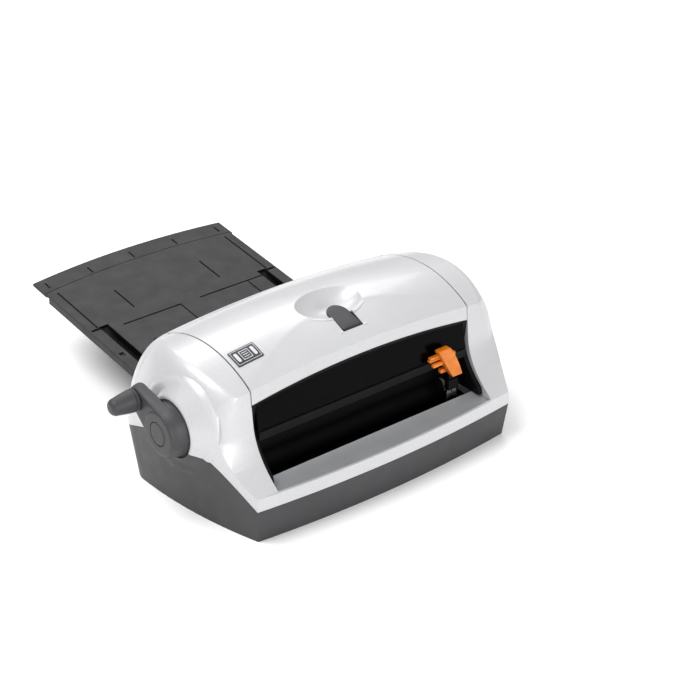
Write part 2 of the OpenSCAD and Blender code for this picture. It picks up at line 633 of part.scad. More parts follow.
// --- feed tray ---------------------------------------------------------------------------------
tray_y = 190;                                // hinge axis of the tray
tray_z = 45.6;
tray_t = 3;
plate_low = 1.6;                             // underside of the plate over the hinge axis
groove_floor = 3.6;
channel_x = [95, 106];                       // guide channel, inside
channel_y = [70, 144];
channel_wall = 2;
module tray_frame() translate([0, tray_y, tray_z]) rotate([tray_rise, 0, 0]) children();
module groove(x, y0, y1) block([x - 0.6, y0, groove_floor], [x + 0.6, y1, 6]);
module feed_tray() color(grey) framed() tray_frame() difference() {
    union() {
        translate([0, 0, plate_low]) linear_extrude(tray_t) polygon(concat(
            [[-tray_half + 1.5, 6], [-tray_half + 1.5, tray_len - 28],
             [-tray_half, tray_len - 26]],
            [for (i = [-8 : 8]) let (u = i / 8) [tray_half * u,
                tray_len + tray_bow * (1 - u * u)]],
            [[tray_half, tray_len - 26], [tray_half - 1.5, tray_len - 28],
             [tray_half - 1.5, 6]]));
        both_ends() {
            block([tray_half - 4, 8, -4.4], [tray_half - 1.5, tray_len - 30, 1.7]);
            block([channel_x[0] - channel_wall, channel_y[0] - channel_wall, -6],
                [channel_x[1] + channel_wall, channel_y[1] + channel_wall, 1.7]);
            difference() {
                union() {
                    block([96, -1, -4], [104, 12, 1.7]);
                    rod_x(96, 104, 0, 0, 5);
                }
                rod_x(95, 105, 0, 0, 2.5 + fit);
            }
        }
        for (x = [-60, 0, 60]) block([x - 1, 14, -2.4], [x + 1, tray_len - 40, 1.7]);
    }
    both_ends() {
        block([channel_x[0], channel_y[0], -4], [channel_x[1], channel_y[1], 6]);
        block([110, 88, -1], [114, 93, 6]);
        groove(107.5, tray_len - 107, tray_len - 29);
        groove(54.5, tray_len - 94, tray_len - 56);
    }
    for (i = [-2 : 2]) groove(i * 54.5, tray_len - 9 - abs(i) * 2, tray_len + 1 - abs(i) * 3);
    block([-82, 134, groove_floor], [-10, 136, 6]);
    block([-12, 102, groove_floor], [-10, 136, 6]);
    block([14, 134, groove_floor], [99, 136, 6]);
    block([74.4, 102, groove_floor], [76.4, 136, 6]);
}
module tray_hinge_pins() color("silver") framed() both_ends()
    rod_x(91.2, 108.8, tray_y, tray_z, 2.5);
module tray_brackets() color(grey) framed() both_ends() difference() {
    union() {
        block([88, 184.05, 40.6], [95.6, 190, 50.6]);
        block([104.4, 184.05, 40.6], [112, 190, 50.6]);
        rod_x(88, 95.6, tray_y, tray_z, 5);
        rod_x(104.4, 112, tray_y, tray_z, 5);
    }
    rod_x(91, 109, tray_y, tray_z, 2.5);
}

base_pan();
rubber_feet();
base_screws();
upper_housing();
output_deck();
left_side_frame();
right_side_frame();
frame_tie_rods();
shaft_bushes();
feed_table();
crank_arm();
crank_cap();
crank_shaft();
crank_gear();
crank_bush();
crank_knob();
knob_pin();
lower_roller_shaft();
lower_roller_sleeve();
lower_roller_gear();
upper_roller_shaft();
upper_roller_sleeve();
upper_roller_gear();
nip_springs();
window_frame();
window();
cutter_rail();
cutter_slider();
cutter_arm();
cutter_blade();
lid_shell();
lid_hinge_pins();
lid_hinge_brackets();
latch_lever();
latch_pin();
latch_spring();
latch_catch();
badge_plate();
cartridge_frame();
film_guide();
film_flap();
upper_core();
upper_film();
upper_roll_hubs();
lower_core();
lower_film();
lower_roll_hubs();
feed_tray();
tray_hinge_pins();
tray_brackets();
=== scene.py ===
import json
import math

import bmesh
import bpy
import numpy as np
from mathutils import Matrix, Vector


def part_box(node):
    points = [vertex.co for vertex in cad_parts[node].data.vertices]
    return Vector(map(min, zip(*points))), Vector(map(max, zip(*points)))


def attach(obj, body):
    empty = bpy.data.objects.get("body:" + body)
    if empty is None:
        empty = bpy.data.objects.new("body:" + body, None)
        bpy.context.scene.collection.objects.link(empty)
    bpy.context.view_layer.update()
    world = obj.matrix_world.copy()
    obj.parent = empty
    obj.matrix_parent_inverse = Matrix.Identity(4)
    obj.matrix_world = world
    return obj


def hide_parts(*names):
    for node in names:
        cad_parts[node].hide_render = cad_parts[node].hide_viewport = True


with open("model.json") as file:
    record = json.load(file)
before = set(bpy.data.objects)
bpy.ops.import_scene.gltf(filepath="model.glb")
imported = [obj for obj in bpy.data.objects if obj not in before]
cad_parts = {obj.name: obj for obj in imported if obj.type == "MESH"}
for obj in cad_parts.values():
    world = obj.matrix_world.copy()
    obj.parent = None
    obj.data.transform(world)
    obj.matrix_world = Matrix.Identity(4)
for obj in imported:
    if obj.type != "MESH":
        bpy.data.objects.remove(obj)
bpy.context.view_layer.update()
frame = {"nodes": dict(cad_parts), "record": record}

NODES = frame["nodes"]


def middle(node):
    lo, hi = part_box(node)
    return (lo + hi) / 2


# The shapes below are written in millimetres in the body's own frame: X = 0 on the
# middle of the lid, Y = 0 at the front corners of the base, Z = 0 on the floor.
CRANK_Y, CRANK_Z = 84.8, 93.3
SHIFT = Vector((middle("lid_shell").x, middle("crank_cap").y - CRANK_Y / 1000, 0))


# ---------------------------------------------------------------- meshes in mm
def solid(verts, faces, merge=1e-4):
    """A closed mesh in millimetres, with its seams merged and its normals outward."""
    mesh = bpy.data.meshes.new("solid")
    mesh.from_pydata([tuple(v) for v in verts], [], [tuple(f) for f in faces])
    bm = bmesh.new()
    bm.from_mesh(mesh)
    bmesh.ops.remove_doubles(bm, verts=bm.verts, dist=merge)
    bmesh.ops.dissolve_degenerate(bm, edges=bm.edges, dist=merge)
    bmesh.ops.recalc_face_normals(bm, faces=bm.faces)
    bm.to_mesh(mesh)
    bm.free()
    o = bpy.data.objects.new("solid", mesh)
    bpy.context.scene.collection.objects.link(o)
    return o


def copy(o):
    c = o.copy()
    c.data = o.data.copy()
    bpy.context.scene.collection.objects.link(c)
    return c


def settle(o):
    """Applies o's modifiers to its mesh."""
    mesh = bpy.data.meshes.new_from_object(
        o.evaluated_get(bpy.context.evaluated_depsgraph_get()))
    o.modifiers.clear()
    old, o.data = o.data, mesh
    bpy.data.meshes.remove(old)
    return o


def boolean(a, b, operation):
    """Changes a by b. The tool b is used up."""
    m = a.modifiers.new("boolean", "BOOLEAN")
    m.operation, m.object, m.solver = operation, b, "MANIFOLD"
    settle(a)
    bpy.data.objects.remove(b, do_unlink=True)
    return a


def cut(a, *tools):
    for b in tools:
        boolean(a, b, "DIFFERENCE")
    return a


def join(a, *others):
    for b in others:
        boolean(a, b, "UNION")
    return a


def meet(a, b):
    return boolean(a, b, "INTERSECT")


def soften(o, width, segments=3, angle=30):
    """Rounds the edges that turn by more than an angle in degrees."""
    m = o.modifiers.new("bevel", "BEVEL")
    m.width, m.segments, m.limit_method = width, segments, "ANGLE"
    m.angle_limit = math.radians(angle)
    m.use_clamp_overlap = True
    return settle(o)


def block(a, b):
    (x0, y0, z0), (x1, y1, z1) = a, b
    v = [(x, y, z) for x in (x0, x1) for y in (y0, y1) for z in (z0, z1)]
    f = [(0, 1, 3, 2), (4, 6, 7, 5), (0, 4, 5, 1), (2, 3, 7, 6), (0, 2, 6, 4), (1, 5, 7, 3)]
    return solid(v, f)


def box_side(s, a, b):
    """A block given for the right side; with s = -1 its mirror image on the left."""
    xs = sorted((s * a[0], s * b[0]))
    return block((xs[0], a[1], a[2]), (xs[1], b[1], b[2]))


def bands(count, n, flipped=False):
    """The quads between a count of rings of n points each."""
    faces = []
    for i in range(count - 1):
        for k in range(n):
            j = (k + 1) % n
            quad = (i * n + k, i * n + j, (i + 1) * n + j, (i + 1) * n + k)
            faces.append(quad[:1] + quad[:0:-1] if flipped else quad)
    return faces


def lofted(rings, flipped=False):
    """A closed solid through rings of points with the same count."""
    n, total = len(rings[0]), len(rings) * len(rings[0])
    turn = -1 if flipped else 1
    ends = [tuple(range(n))[::-turn], tuple(range(total - n, total))[::turn]]
    return solid([p for ring in rings for p in ring], ends + bands(len(rings), n, flipped))


def prism(x0, x1, outline):
    """An outline in Y and Z, drawn out along X."""
    return lofted([[(x, y, z) for y, z in outline] for x in (x0, x1)])


def slab(z0, z1, outline):
    """An outline in X and Y, drawn up along Z."""
    return lofted([[(x, y, z) for x, y in outline] for z in (z0, z1)])


def sheet_y(y0, y1, outline):
    """An outline in X and Z, drawn out along Y."""
    return lofted([[(x, y, z) for x, z in outline] for y in (y0, y1)], flipped=True)


ON_AXIS = 1e-6     # a radius at or below this is a point, and needs no end face


def lathe(profile, y, z, n=128, axis="X"):
    """A profile of (along, radius) turned about an axis along X through (y, z), or along Z."""
    rows = []
    for along, r in profile:
        ring = []
        for k in range(n):
            a = 2 * math.pi * k / n
            if axis == "X":
                ring.append((along, y + r * math.cos(a), z + r * math.sin(a)))
            else:
                ring.append((y + r * math.cos(a), z + r * math.sin(a), along))
        rows.append(ring)
    v = [p for ring in rows for p in ring]
    f = bands(len(rows), n)
    if profile[0][1] > ON_AXIS:
        f.append(tuple(range(n))[::-1])
    if profile[-1][1] > ON_AXIS:
        f.append(tuple(range((len(rows) - 1) * n, len(rows) * n)))
    return solid(v, f)


def rod(x0, x1, y, z, r, n=96):
    return lathe([(x0, r), (x1, r)], y, z, n)


def rod_side(s, x0, x1, y, z, r, n=96):
    """A rod given for the right side; with s = -1 its mirror image on the left."""
    return rod(*sorted((s * x0, s * x1)), y, z, r, n)


def post(x, y, z0, z1, r):
    return lathe([(z0, r), (z1, r)], x, y, 48, axis="Z")


POLE_MERGE = 1e-3      # joins the points that share a pole or a mirror plane


def ellipsoid(c, r, n=96, m=48):
    v = []
    for i in range(m + 1):
        t = math.pi * i / m
        for k in range(n):
            a = 2 * math.pi * k / n
            v.append((c[0] + r[0] * math.sin(t) * math.cos(a),
                      c[1] + r[1] * math.sin(t) * math.sin(a), c[2] + r[2] * math.cos(t)))
    return solid(v, bands(m + 1, n), merge=POLE_MERGE)


def arc_points(centre, r, a0, a1, n):
    return [(centre[0] + r * math.cos(math.radians(a0 + (a1 - a0) * i / n)),
             centre[1] + r * math.sin(math.radians(a0 + (a1 - a0) * i / n)))
            for i in range(n + 1)]


def bezier(a, b, c, n):
    return [((1 - t) ** 2 * a[0] + 2 * t * (1 - t) * b[0] + t * t * c[0],
             (1 - t) ** 2 * a[1] + 2 * t * (1 - t) * b[1] + t * t * c[1])
            for t in [i / n for i in range(n + 1)]]


SLIVER = 0.004         # edges shorter than this are left over from the booleans
SMOOTH_ANGLE = 28      # edges that turn by more degrees than this stay sharp


def clean(o):
    """Removes what the booleans leave: slivers and loose points."""
    bm = bmesh.new()
    bm.from_mesh(o.data)
    bmesh.ops.remove_doubles(bm, verts=bm.verts, dist=SLIVER)
    bmesh.ops.dissolve_degenerate(bm, edges=bm.edges, dist=SLIVER)
    loose = [v for v in bm.verts if not v.link_faces]
    bmesh.ops.delete(bm, geom=loose, context="VERTS")
    bm.to_mesh(o.data)
    bm.free()


def piece(o, name, body, material, nodes=()):
    """Turns a shape in millimetres into a finished piece in the row frame."""
    clean(o)
    o.data.transform(Matrix.Translation(SHIFT) @ Matrix.Scale(0.001, 4))
    o.name = o.data.name = name
    o.data.materials.clear()
    o.data.materials.append(material)
    o.data.polygons.foreach_set("material_index", [0] * len(o.data.polygons))
    o.data.shade_smooth()
    o.data.set_sharp_from_angle(angle=math.radians(SMOOTH_ANGLE))
    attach(o, body)
    if nodes:
        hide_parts(*nodes)
    return o


# ---------------------------------------------------------------- materials
def linear(*srgb):
    """A colour given as it looks on a screen, 0 to 255, as the shader needs it."""
    return tuple((c / 255 / 12.92) if c <= 10 else ((c / 255 + 0.055) / 1.055) ** 2.4
                 for c in srgb) + (1.0,)


def node_tree(name):
    """A new material: itself, its tree, its shader, object coordinates and its output."""
    m = bpy.data.materials.new(name)
    m.use_nodes = True
    nt = m.node_tree
    nt.nodes.clear()
    out = nt.nodes.new("ShaderNodeOutputMaterial")
    shader = nt.nodes.new("ShaderNodeBsdfPrincipled")
    nt.links.new(shader.outputs["BSDF"], out.inputs["Surface"])
    coord = nt.nodes.new("ShaderNodeTexCoord")
    return m, nt, shader, coord.outputs["Object"], out


def noise(nt, coord, scale, detail, stretch=None):
    """A noise value; stretch scales each axis, for brushed or drawn surfaces."""
    if stretch:
        mapping = nt.nodes.new("ShaderNodeMapping")
        mapping.inputs["Scale"].default_value = stretch
        nt.links.new(coord, mapping.inputs["Vector"])
        coord = mapping.outputs["Vector"]
    n = nt.nodes.new("ShaderNodeTexNoise")
    n.inputs["Scale"].default_value = scale
    n.inputs["Detail"].default_value = detail
    nt.links.new(coord, n.inputs["Vector"])
    return n.outputs["Fac"]


def spread(nt, value, low, high, a=0.3, b=0.7):
    """Maps a value that runs from a to b onto low to high."""
    r = nt.nodes.new("ShaderNodeMapRange")
    r.inputs["From Min"].default_value, r.inputs["From Max"].default_value = a, b
    r.inputs["To Min"].default_value, r.inputs["To Max"].default_value = low, high
    nt.links.new(value, r.inputs["Value"])
    return r.outputs["Result"]


MIX_FAC, MIX_A, MIX_B, MIX_OUT = 0, 6, 7, 2     # the colour sockets of a Mix node


def ramp_mix(nt, fac, a, b):
    """Blends two colours, each a tuple or a socket, by the value of a socket."""
    mix = nt.nodes.new("ShaderNodeMix")
    mix.data_type = "RGBA"
    for key, value in ((MIX_A, a), (MIX_B, b)):
        if isinstance(value, tuple):
            mix.inputs[key].default_value = value
        else:
            nt.links.new(value, mix.inputs[key])
    nt.links.new(fac, mix.inputs[MIX_FAC])
    return mix.outputs[MIX_OUT]


def shade(rgba, k):
    return tuple(min(1.0, c * k) for c in rgba[:3]) + (1.0,)


def bumped(nt, height, strength, distance):
    """A bump node driven by a height socket; distance in metres."""
    bump = nt.nodes.new("ShaderNodeBump")
    bump.inputs["Strength"].default_value = strength
    bump.inputs["Distance"].default_value = distance
    nt.links.new(height, bump.inputs["Height"])
    return bump


def soften_edges(nt, bump, radius):
    """Shades the edges under a bump as if they were rounded by radius, in metres."""
    soft = nt.nodes.new("ShaderNodeBevel")
    soft.samples = 4
    soft.inputs["Radius"].default_value = radius
    nt.links.new(soft.outputs["Normal"], bump.inputs["Normal"])


def plastic(name, rgba, rough, grain=0.12, grain_scale=1600.0, vary=0.08, wear=0.0,
            metallic=0.0, coat=0.0, spec=0.5, edge=0.0004, stretch=None):
    """Moulded plastic, rubber or metal: mottled colour, fine grain, softened and worn edges."""
    m, nt, shader, coord, _ = node_tree(name)
    shader.inputs["Metallic"].default_value = metallic
    shader.inputs["Specular IOR Level"].default_value = spec
    shader.inputs["Coat Weight"].default_value = coat
    shader.inputs["Coat Roughness"].default_value = 0.15
    broad = noise(nt, coord, 14.0, 4.0)
    fine = noise(nt, coord, grain_scale, 2.0, stretch)
    colour = ramp_mix(nt, spread(nt, broad, 0.0, 1.0), shade(rgba, 1 - vary),
                      shade(rgba, 1 + vary))
    colour = ramp_mix(nt, spread(nt, fine, 0.0, 0.35), colour, shade(rgba, 1 - 2 * vary))
    if wear:
        geo = nt.nodes.new("ShaderNodeNewGeometry")
        rub = noise(nt, coord, 120.0, 4.0)
        rim = nt.nodes.new("ShaderNodeMath")
        rim.operation = "MULTIPLY"
        nt.links.new(spread(nt, geo.outputs["Pointiness"], 0.0, wear, 0.53, 0.62),
                     rim.inputs[0])
        nt.links.new(spread(nt, rub, 0.2, 1.0), rim.inputs[1])
        colour = ramp_mix(nt, rim.outputs["Value"], colour, shade(rgba, 2.2))
    nt.links.new(colour, shader.inputs["Base Color"])
    nt.links.new(spread(nt, noise(nt, coord, 60.0, 5.0), rough - 0.05, rough + 0.06),
                 shader.inputs["Roughness"])
    bump = bumped(nt, fine, grain, 0.0003)
    soften_edges(nt, bump, edge)
    nt.links.new(bump.outputs["Normal"], shader.inputs["Normal"])
    return m


def pearl(name, rgba):
    """Pearl lacquer: a pale body with tiny bright flakes under a satin top coat."""
    m, nt, shader, coord, _ = node_tree(name)
    shader.inputs["Coat Weight"].default_value = 0.35
    shader.inputs["Coat Roughness"].default_value = 0.12
    shader.inputs["Specular IOR Level"].default_value = 0.5
    cells = nt.nodes.new("ShaderNodeTexVoronoi")
    cells.inputs["Scale"].default_value = 2600.0
    nt.links.new(coord, cells.inputs["Vector"])
    flake = spread(nt, cells.outputs["Distance"], 1.0, 0.0, 0.15, 0.6)
    broad = noise(nt, coord, 9.0, 4.0)
    base = ramp_mix(nt, spread(nt, broad, 0.0, 1.0), shade(rgba, 0.975), shade(rgba, 1.02))
    colour = ramp_mix(nt, spread(nt, flake, 0.0, 0.3, 0.0, 1.0), base,
                      (0.93, 0.94, 0.96, 1.0))
    nt.links.new(colour, shader.inputs["Base Color"])
    nt.links.new(spread(nt, flake, 0.12, 0.34, 0.0, 1.0), shader.inputs["Metallic"])
    nt.links.new(spread(nt, noise(nt, coord, 45.0, 5.0), 0.34, 0.44),
                 shader.inputs["Roughness"])
    bump = bumped(nt, cells.outputs["Distance"], 0.04, 0.0002)
    soften_edges(nt, bump, 0.0006)
    nt.links.new(bump.outputs["Normal"], shader.inputs["Normal"])
    return m


def see_through(name, rgba, clear, rough, streak):
    """Thin clear plastic: part passes straight through, the rest is tinted and glossy."""
    m, nt, shader, coord, out = node_tree(name)
    shader.inputs["Specular IOR Level"].default_value = 0.3
    veins = noise(nt, coord, 30.0, 4.0, (1.0, 14.0, 14.0))
    nt.links.new(ramp_mix(nt, spread(nt, veins, 0.0, 1.0), shade(rgba, 1 - streak),
                          shade(rgba, 1 + streak)), shader.inputs["Base Color"])
    nt.links.new(spread(nt, noise(nt, coord, 80.0, 4.0), rough, rough + 0.05),
                 shader.inputs["Roughness"])
    clear_shader = nt.nodes.new("ShaderNodeBsdfTransparent")
    clear_shader.inputs["Color"].default_value = (clear, clear, clear * 0.98, 1.0)
    fresnel = nt.nodes.new("ShaderNodeFresnel")
    fresnel.inputs["IOR"].default_value = 1.45
    share = spread(nt, fresnel.outputs["Fac"], 0.16, 1.0, 0.03, 0.9)
    mix = nt.nodes.new("ShaderNodeMixShader")
    nt.links.new(share, mix.inputs[0])
    nt.links.new(clear_shader.outputs["BSDF"], mix.inputs[1])
    nt.links.new(shader.outputs["BSDF"], mix.inputs[2])
    nt.links.new(mix.outputs["Shader"], out.inputs["Surface"])
    return m


def orange_resin(name):
    """Translucent orange plastic with a slight cloud in it."""
    m, nt, shader, coord, _ = node_tree(name)
    base = linear(206, 114, 18)
    shader.inputs["Subsurface Weight"].default_value = 0.45
    shader.inputs["Subsurface Radius"].default_value = (1.0, 0.5, 0.15)
    shader.inputs["Subsurface Scale"].default_value = 0.004
    shader.inputs["Coat Weight"].default_value = 0.2
    cloud = noise(nt, coord, 160.0, 4.0)
    nt.links.new(ramp_mix(nt, spread(nt, cloud, 0.0, 1.0), shade(base, 0.85),
                          shade(base, 1.12)), shader.inputs["Base Color"])
    nt.links.new(spread(nt, noise(nt, coord, 300.0, 3.0), 0.26, 0.4),
                 shader.inputs["Roughness"])
    bump = bumped(nt, noise(nt, coord, 900.0, 2.0), 0.06, 0.0003)
    nt.links.new(bump.outputs["Normal"], shader.inputs["Normal"])
    return m


M = {
    "base_grey": plastic("base_grey", linear(55, 54, 56), 0.5, grain=0.2, wear=0.12, spec=0.38,
                         edge=0.0008),
    "tray_grey": plastic("tray_grey", linear(38, 38, 40), 0.55, grain=0.2, wear=0.1, vary=0.04,
                         spec=0.3, edge=0.0006),
    "pearl_housing": pearl("pearl_housing", linear(180, 180, 182)),
    "deck_silver": plastic("deck_silver", linear(170, 172, 175), 0.4, grain=0.06,
                           grain_scale=2400.0, vary=0.04, metallic=0.4, wear=0.05),
    "black_plastic": plastic("black_plastic", linear(9, 9, 10), 0.5, grain=0.12,
                             wear=0.04, spec=0.12),
    "frame_steel": plastic("frame_steel", linear(24, 24, 26), 0.5, grain=0.05,
                           metallic=0.4, stretch=(1.0, 0.05, 1.0), wear=0.1),
    "steel": plastic("steel", linear(176, 177, 180), 0.25, grain=0.06, vary=0.05,
                     metallic=1.0, stretch=(1.0, 0.06, 0.06), edge=0.0002),
    "bush_nylon": plastic("bush_nylon", linear(214, 209, 190), 0.4, vary=0.05),
    "gear_nylon": plastic("gear_nylon", linear(228, 227, 218), 0.38, vary=0.05),
    "roller_rubber": plastic("roller_rubber", linear(10, 10, 11), 0.7, grain=0.25,
                             grain_scale=1100.0, vary=0.12, spec=0.06),
    "foot_rubber": plastic("foot_rubber", linear(30, 30, 31), 0.75, grain=0.3, spec=0.3),
    "cutter_orange": orange_resin("cutter_orange"),
    "badge": plastic("badge", linear(44, 45, 48), 0.3, grain=0.03, vary=0.04, coat=0.3),
    "badge_ink": plastic("badge_ink", linear(196, 198, 202), 0.35, grain=0.03, vary=0.04,
                         metallic=0.3),
    "film": plastic("film", linear(212, 206, 186), 0.22, grain=0.05, grain_scale=90.0,
                    vary=0.06, coat=0.5, stretch=(14.0, 0.4, 0.4)),
    "core_white": plastic("core_white", linear(232, 231, 226), 0.5, grain=0.1, vary=0.04),
    "smoked_window": see_through("smoked_window", linear(6, 6, 6), 0.1, 0.06, 0.2),
    "flap_smoke": see_through("flap_smoke", linear(120, 120, 124), 0.62, 0.12, 0.1),
}
for part in frame["record"]["subparts"]:
    mesh = NODES[part["node"]].data
    mesh.materials.clear()
    mesh.materials.append(M[part["material_slot"]])

# ---------------------------------------------------------------- the body's form
WALL = 2.6                              # thickness of the shells
SIDE_X, SIDE_Y, SIDE_R = 174.0, 150, 480.0    # half width, where the sides turn in, radius
FRONT_BOW, FRONT_HALF = 9.0, 150        # how far the front swells forward, and over what half
DRAFT, LEAN = 0.125, 4.4                # the walls lean out: per millimetre, and at the seam
SEAM_FRONT, SEAM_PEAK = 35.2, 80.5      # height of the line between pan and housing
SEAM_START, SEAM_KNEE = -4.5, 49.5      # where that line starts to climb, and slows down
SEAM_CLIMB, SEAM_CREST, SEAM_FALL = 40, 5.3, 32    # its rise, the rest of it, its fall
SEAM_END = 99.2                         # length of the fall behind the crank
SILL_Z, SILL_Y = 49.0, -4.7             # top and front edge of the sill
CORNER_Y, CORNER_R = 153.0, 25.0        # the rear corners, in plan
REAR_TOP_Y, REAR_TOP_X = 165.0, 120     # where the top turns down at the rear
OPEN_HALF = 130.0                       # half width of the lid and of the front opening
BROW_Z, BROW_Y, BROW_TOP = 121.5, 34.8, 138.5      # the lid's front edge
ARCH_R, ARCH_Y, ARCH_Z, CROWN = 126, 102, 30, 8    # the lid's curve, and its rise across
CREASE_X, CREASE_Y, CREASE_BEND = 155, 90, 0.00357      # the edge between top and shoulders
CORNER_X = SIDE_X - CORNER_R


def plan_half(y):
    """Half the body's width on the floor."""
    return SIDE_X - max(0.0, SIDE_Y - y) ** 2 / (2 * SIDE_R)


def bow(x):
    """How far the front lies ahead of its ends at x."""
    return FRONT_BOW * (1 - (x / FRONT_HALF) ** 2)


def seam_z(y):
    """The height of the line between pan and housing."""
    if y <= SEAM_START:
        return SEAM_FRONT
    if y < SEAM_KNEE:
        climbed = (y - SEAM_START) / (SEAM_KNEE - SEAM_START)
        return SEAM_FRONT + SEAM_CLIMB * (1 - (1 - climbed) ** 1.35)
    if y < CRANK_Y:
        return SEAM_PEAK - SEAM_CREST * ((CRANK_Y - y) / (CRANK_Y - SEAM_KNEE)) ** 2
    return SEAM_PEAK - SEAM_FALL * ((y - CRANK_Y) / SEAM_END) ** 1.7


def top_z(x, y):
    arch = ARCH_Z + math.sqrt(ARCH_R ** 2 - (y - ARCH_Y) ** 2)
    return arch + CROWN * (1 - (x / OPEN_HALF) ** 2)


def crease_x(y):
    """Where the top turns down into the shoulders."""
    return CREASE_X - CREASE_BEND * (y - CREASE_Y) ** 2


def blend(a, b, angle):
    """The point at an angle on the quarter ellipse that goes up from a and across to b."""
    c, s = math.cos(angle), math.sin(angle)
    return (b[0] + (a[0] - b[0]) * c, b[1] + (a[1] - b[1]) * c, a[2] + (b[2] - a[2]) * s)


def lerp(a, b, t):
    return tuple(p + (q - p) * t for p, q in zip(a, b))


# How finely the form is divided: wall, shoulder, sides, half width and the rear edge
WALL_STEPS, ARC_STEPS, SIDE_STEPS, ACROSS, EDGE_STEPS = 26, 36, 104, 56, 6
WALL_LEVELS = [i / WALL_STEPS for i in range(WALL_STEPS)]
ARC_LEVELS = [math.pi / 2 * i / ARC_STEPS for i in range(ARC_STEPS + 1)]


def ease(v):
    v = min(1.0, max(0.0, v))
    return v * v * (3 - 2 * v)


RING_X, RING_R, RING_EDGE, RING_RISE = -140, 47.5, 2.6, 2.0    # the ring round the crank
FOLD_Z, FOLD_Y = 120, 100               # the lid's soft crease lies above and ahead of these
FOLD_DROP, FOLD_FADE = 1.3, 7.0         # how deep it is, and how softly it starts
FOLD_END, FOLD_END_FADE = 30, 5         # where it fades out at the brow


def flare(x):
    """Where the soft crease that runs from the finger scoop to the lid's front corners lies."""
    return 76 - 37 * max(0.0, (abs(x) - 30) / 100) ** 1.3


def sculpt(p):
    """Small moves of the outer surface: the raised ring round the crank and the lid's crease."""
    x, y, z = p
    r = math.hypot(y - CRANK_Y, z - CRANK_Z)
    if x < RING_X and r < RING_R:
        x -= RING_RISE * ease((RING_R - r) / RING_EDGE)
    if z > FOLD_Z and y < FOLD_Y:
        ahead = flare(x) - y
        if ahead > 0:
            z -= FOLD_DROP * (1 - math.exp(-ahead / FOLD_FADE)) * ease(
                (y - FOLD_END) / FOLD_END_FADE)
    return x, y, z


def side_column(y, t):
    """Floor, seam and crease points of the side wall at one place along the depth."""
    y0 = t - LEAN
    lift = LEAN * (1 - (y - y0) / (CORNER_Y - y0))
    floor = (plan_half(y + lift) - t, y + lift, 0)
    seam = (plan_half(y) + DRAFT * seam_z(y) - t, y, seam_z(y))
    crease = (crease_x(y) - t, y, top_z(crease_x(y), y) - t)
    return floor, seam, crease


def corner_column(a, t):
    """The same three points at an angle round the rear corner."""
    c, s = math.cos(a), math.sin(a)
    z = seam_z(CORNER_Y + CORNER_R * s)
    r = CORNER_R + DRAFT * z - t
    x = REAR_TOP_X + (crease_x(CORNER_Y) - REAR_TOP_X) * c
    y = CORNER_Y + (REAR_TOP_Y - CORNER_Y) * s
    return ((CORNER_X + (CORNER_R - t) * c, CORNER_Y + (CORNER_R - t) * s, 0),
            (CORNER_X + r * c, CORNER_Y + r * s, z),
            (x - t * c, y - t * s, top_z(x, y) - t))


def form(t, sculpted=False):
    """The closed outer form of the body, moved in by t, as one smooth mesh."""
    ys = [t - LEAN + (CORNER_Y - t + LEAN) * i / SIDE_STEPS for i in range(SIDE_STEPS + 1)]
    sides = [side_column(y, t) for y in ys]
    half = ACROSS // 2
    corners = [corner_column(math.pi / 2 * i / half, t) for i in range(half + 1)]
    last = corners[-1]
    rears = []
    for i in range(1, half + 1):
        u = 1 - i / half
        x = REAR_TOP_X * u
        rears.append(((last[0][0] * u, last[0][1], 0), (last[1][0] * u, last[1][1], last[1][2]),
                      (x, REAR_TOP_Y - t, top_z(x, REAR_TOP_Y) - t)))
    rims = []
    first = sides[0]
    for i in range(ACROSS):
        u = i / ACROSS
        swell = FRONT_BOW * (1 - u * u)
        x = crease_x(ys[0]) * u
        rims.append(((first[0][0] * u, first[0][1] - swell, 0),
                     (first[1][0] * u, first[1][1] - swell, first[1][2]),
                     (x - t * u, ys[0], top_z(x, ys[0]) - t)))
    columns = rims + sides + corners[1:] + rears
    verts, faces = [], []

    def grid(rows):
        start, width = len(verts), len(rows[0])
        for row in rows:
            verts.extend(row)
        for i in range(len(rows) - 1):
            for k in range(width - 1):
                a = start + i * width + k
                faces.append((a, a + 1, a + width + 1, a + width))

    def profile(column):
        floor, seam, crease = column
        return ([lerp(floor, seam, w) for w in WALL_LEVELS]
                + [blend(seam, crease, a) for a in ARC_LEVELS])

    grid([profile(c) for c in columns])
    rows = []
    for y in ys:
        row = []
        for i in range(ACROSS + 1):
            f = 1 - i / ACROSS
            x = crease_x(y) * f
            row.append((x - t * f, y, top_z(x, y) - t))
        rows.append(row)
    grid(rows)
    start, end = rows[-1], [c[2] for c in corners] + [c[2] for c in rears]
    strip = []
    for j in range(EDGE_STEPS + 1):
        w = j / EDGE_STEPS
        row = []
        for p, q in zip(start, end):
            x, y, z = lerp(p, q, w)
            bulge = top_z(x, y) - (top_z(p[0], p[1]) * (1 - w) + top_z(q[0], q[1]) * w)
            row.append((x, y, z + bulge))
        strip.append(row)
    grid(strip)
    base = len(verts)
    verts.extend([c[0] for c in columns])
    faces.append(tuple(range(base, len(verts))))
    n = len(verts)
    verts.extend([(-x, y, z) for x, y, z in verts[:n]])
    faces.extend([tuple(n + i for i in reversed(f)) for f in faces[:]])
    if sculpted:
        verts = [sculpt(p) for p in verts]
    return solid(verts, faces, merge=POLE_MERGE)


# The front edge of the cheeks, in Y and Z: a curve from the sill up, then on to the brow
CHEEK_KNEE = (31, 98)
CHEEK = bezier((SILL_Y, SILL_Z), (26, 70), CHEEK_KNEE, 32)
CHEEK_LINE = (CHEEK + bezier(CHEEK_KNEE, (32.4, 110), (33.3, BROW_Z), 6)[1:]
              + [(BROW_Y, BROW_TOP)])
FAR, AHEAD = 220, -60                   # beyond the body: to the sides, rear and top; in front


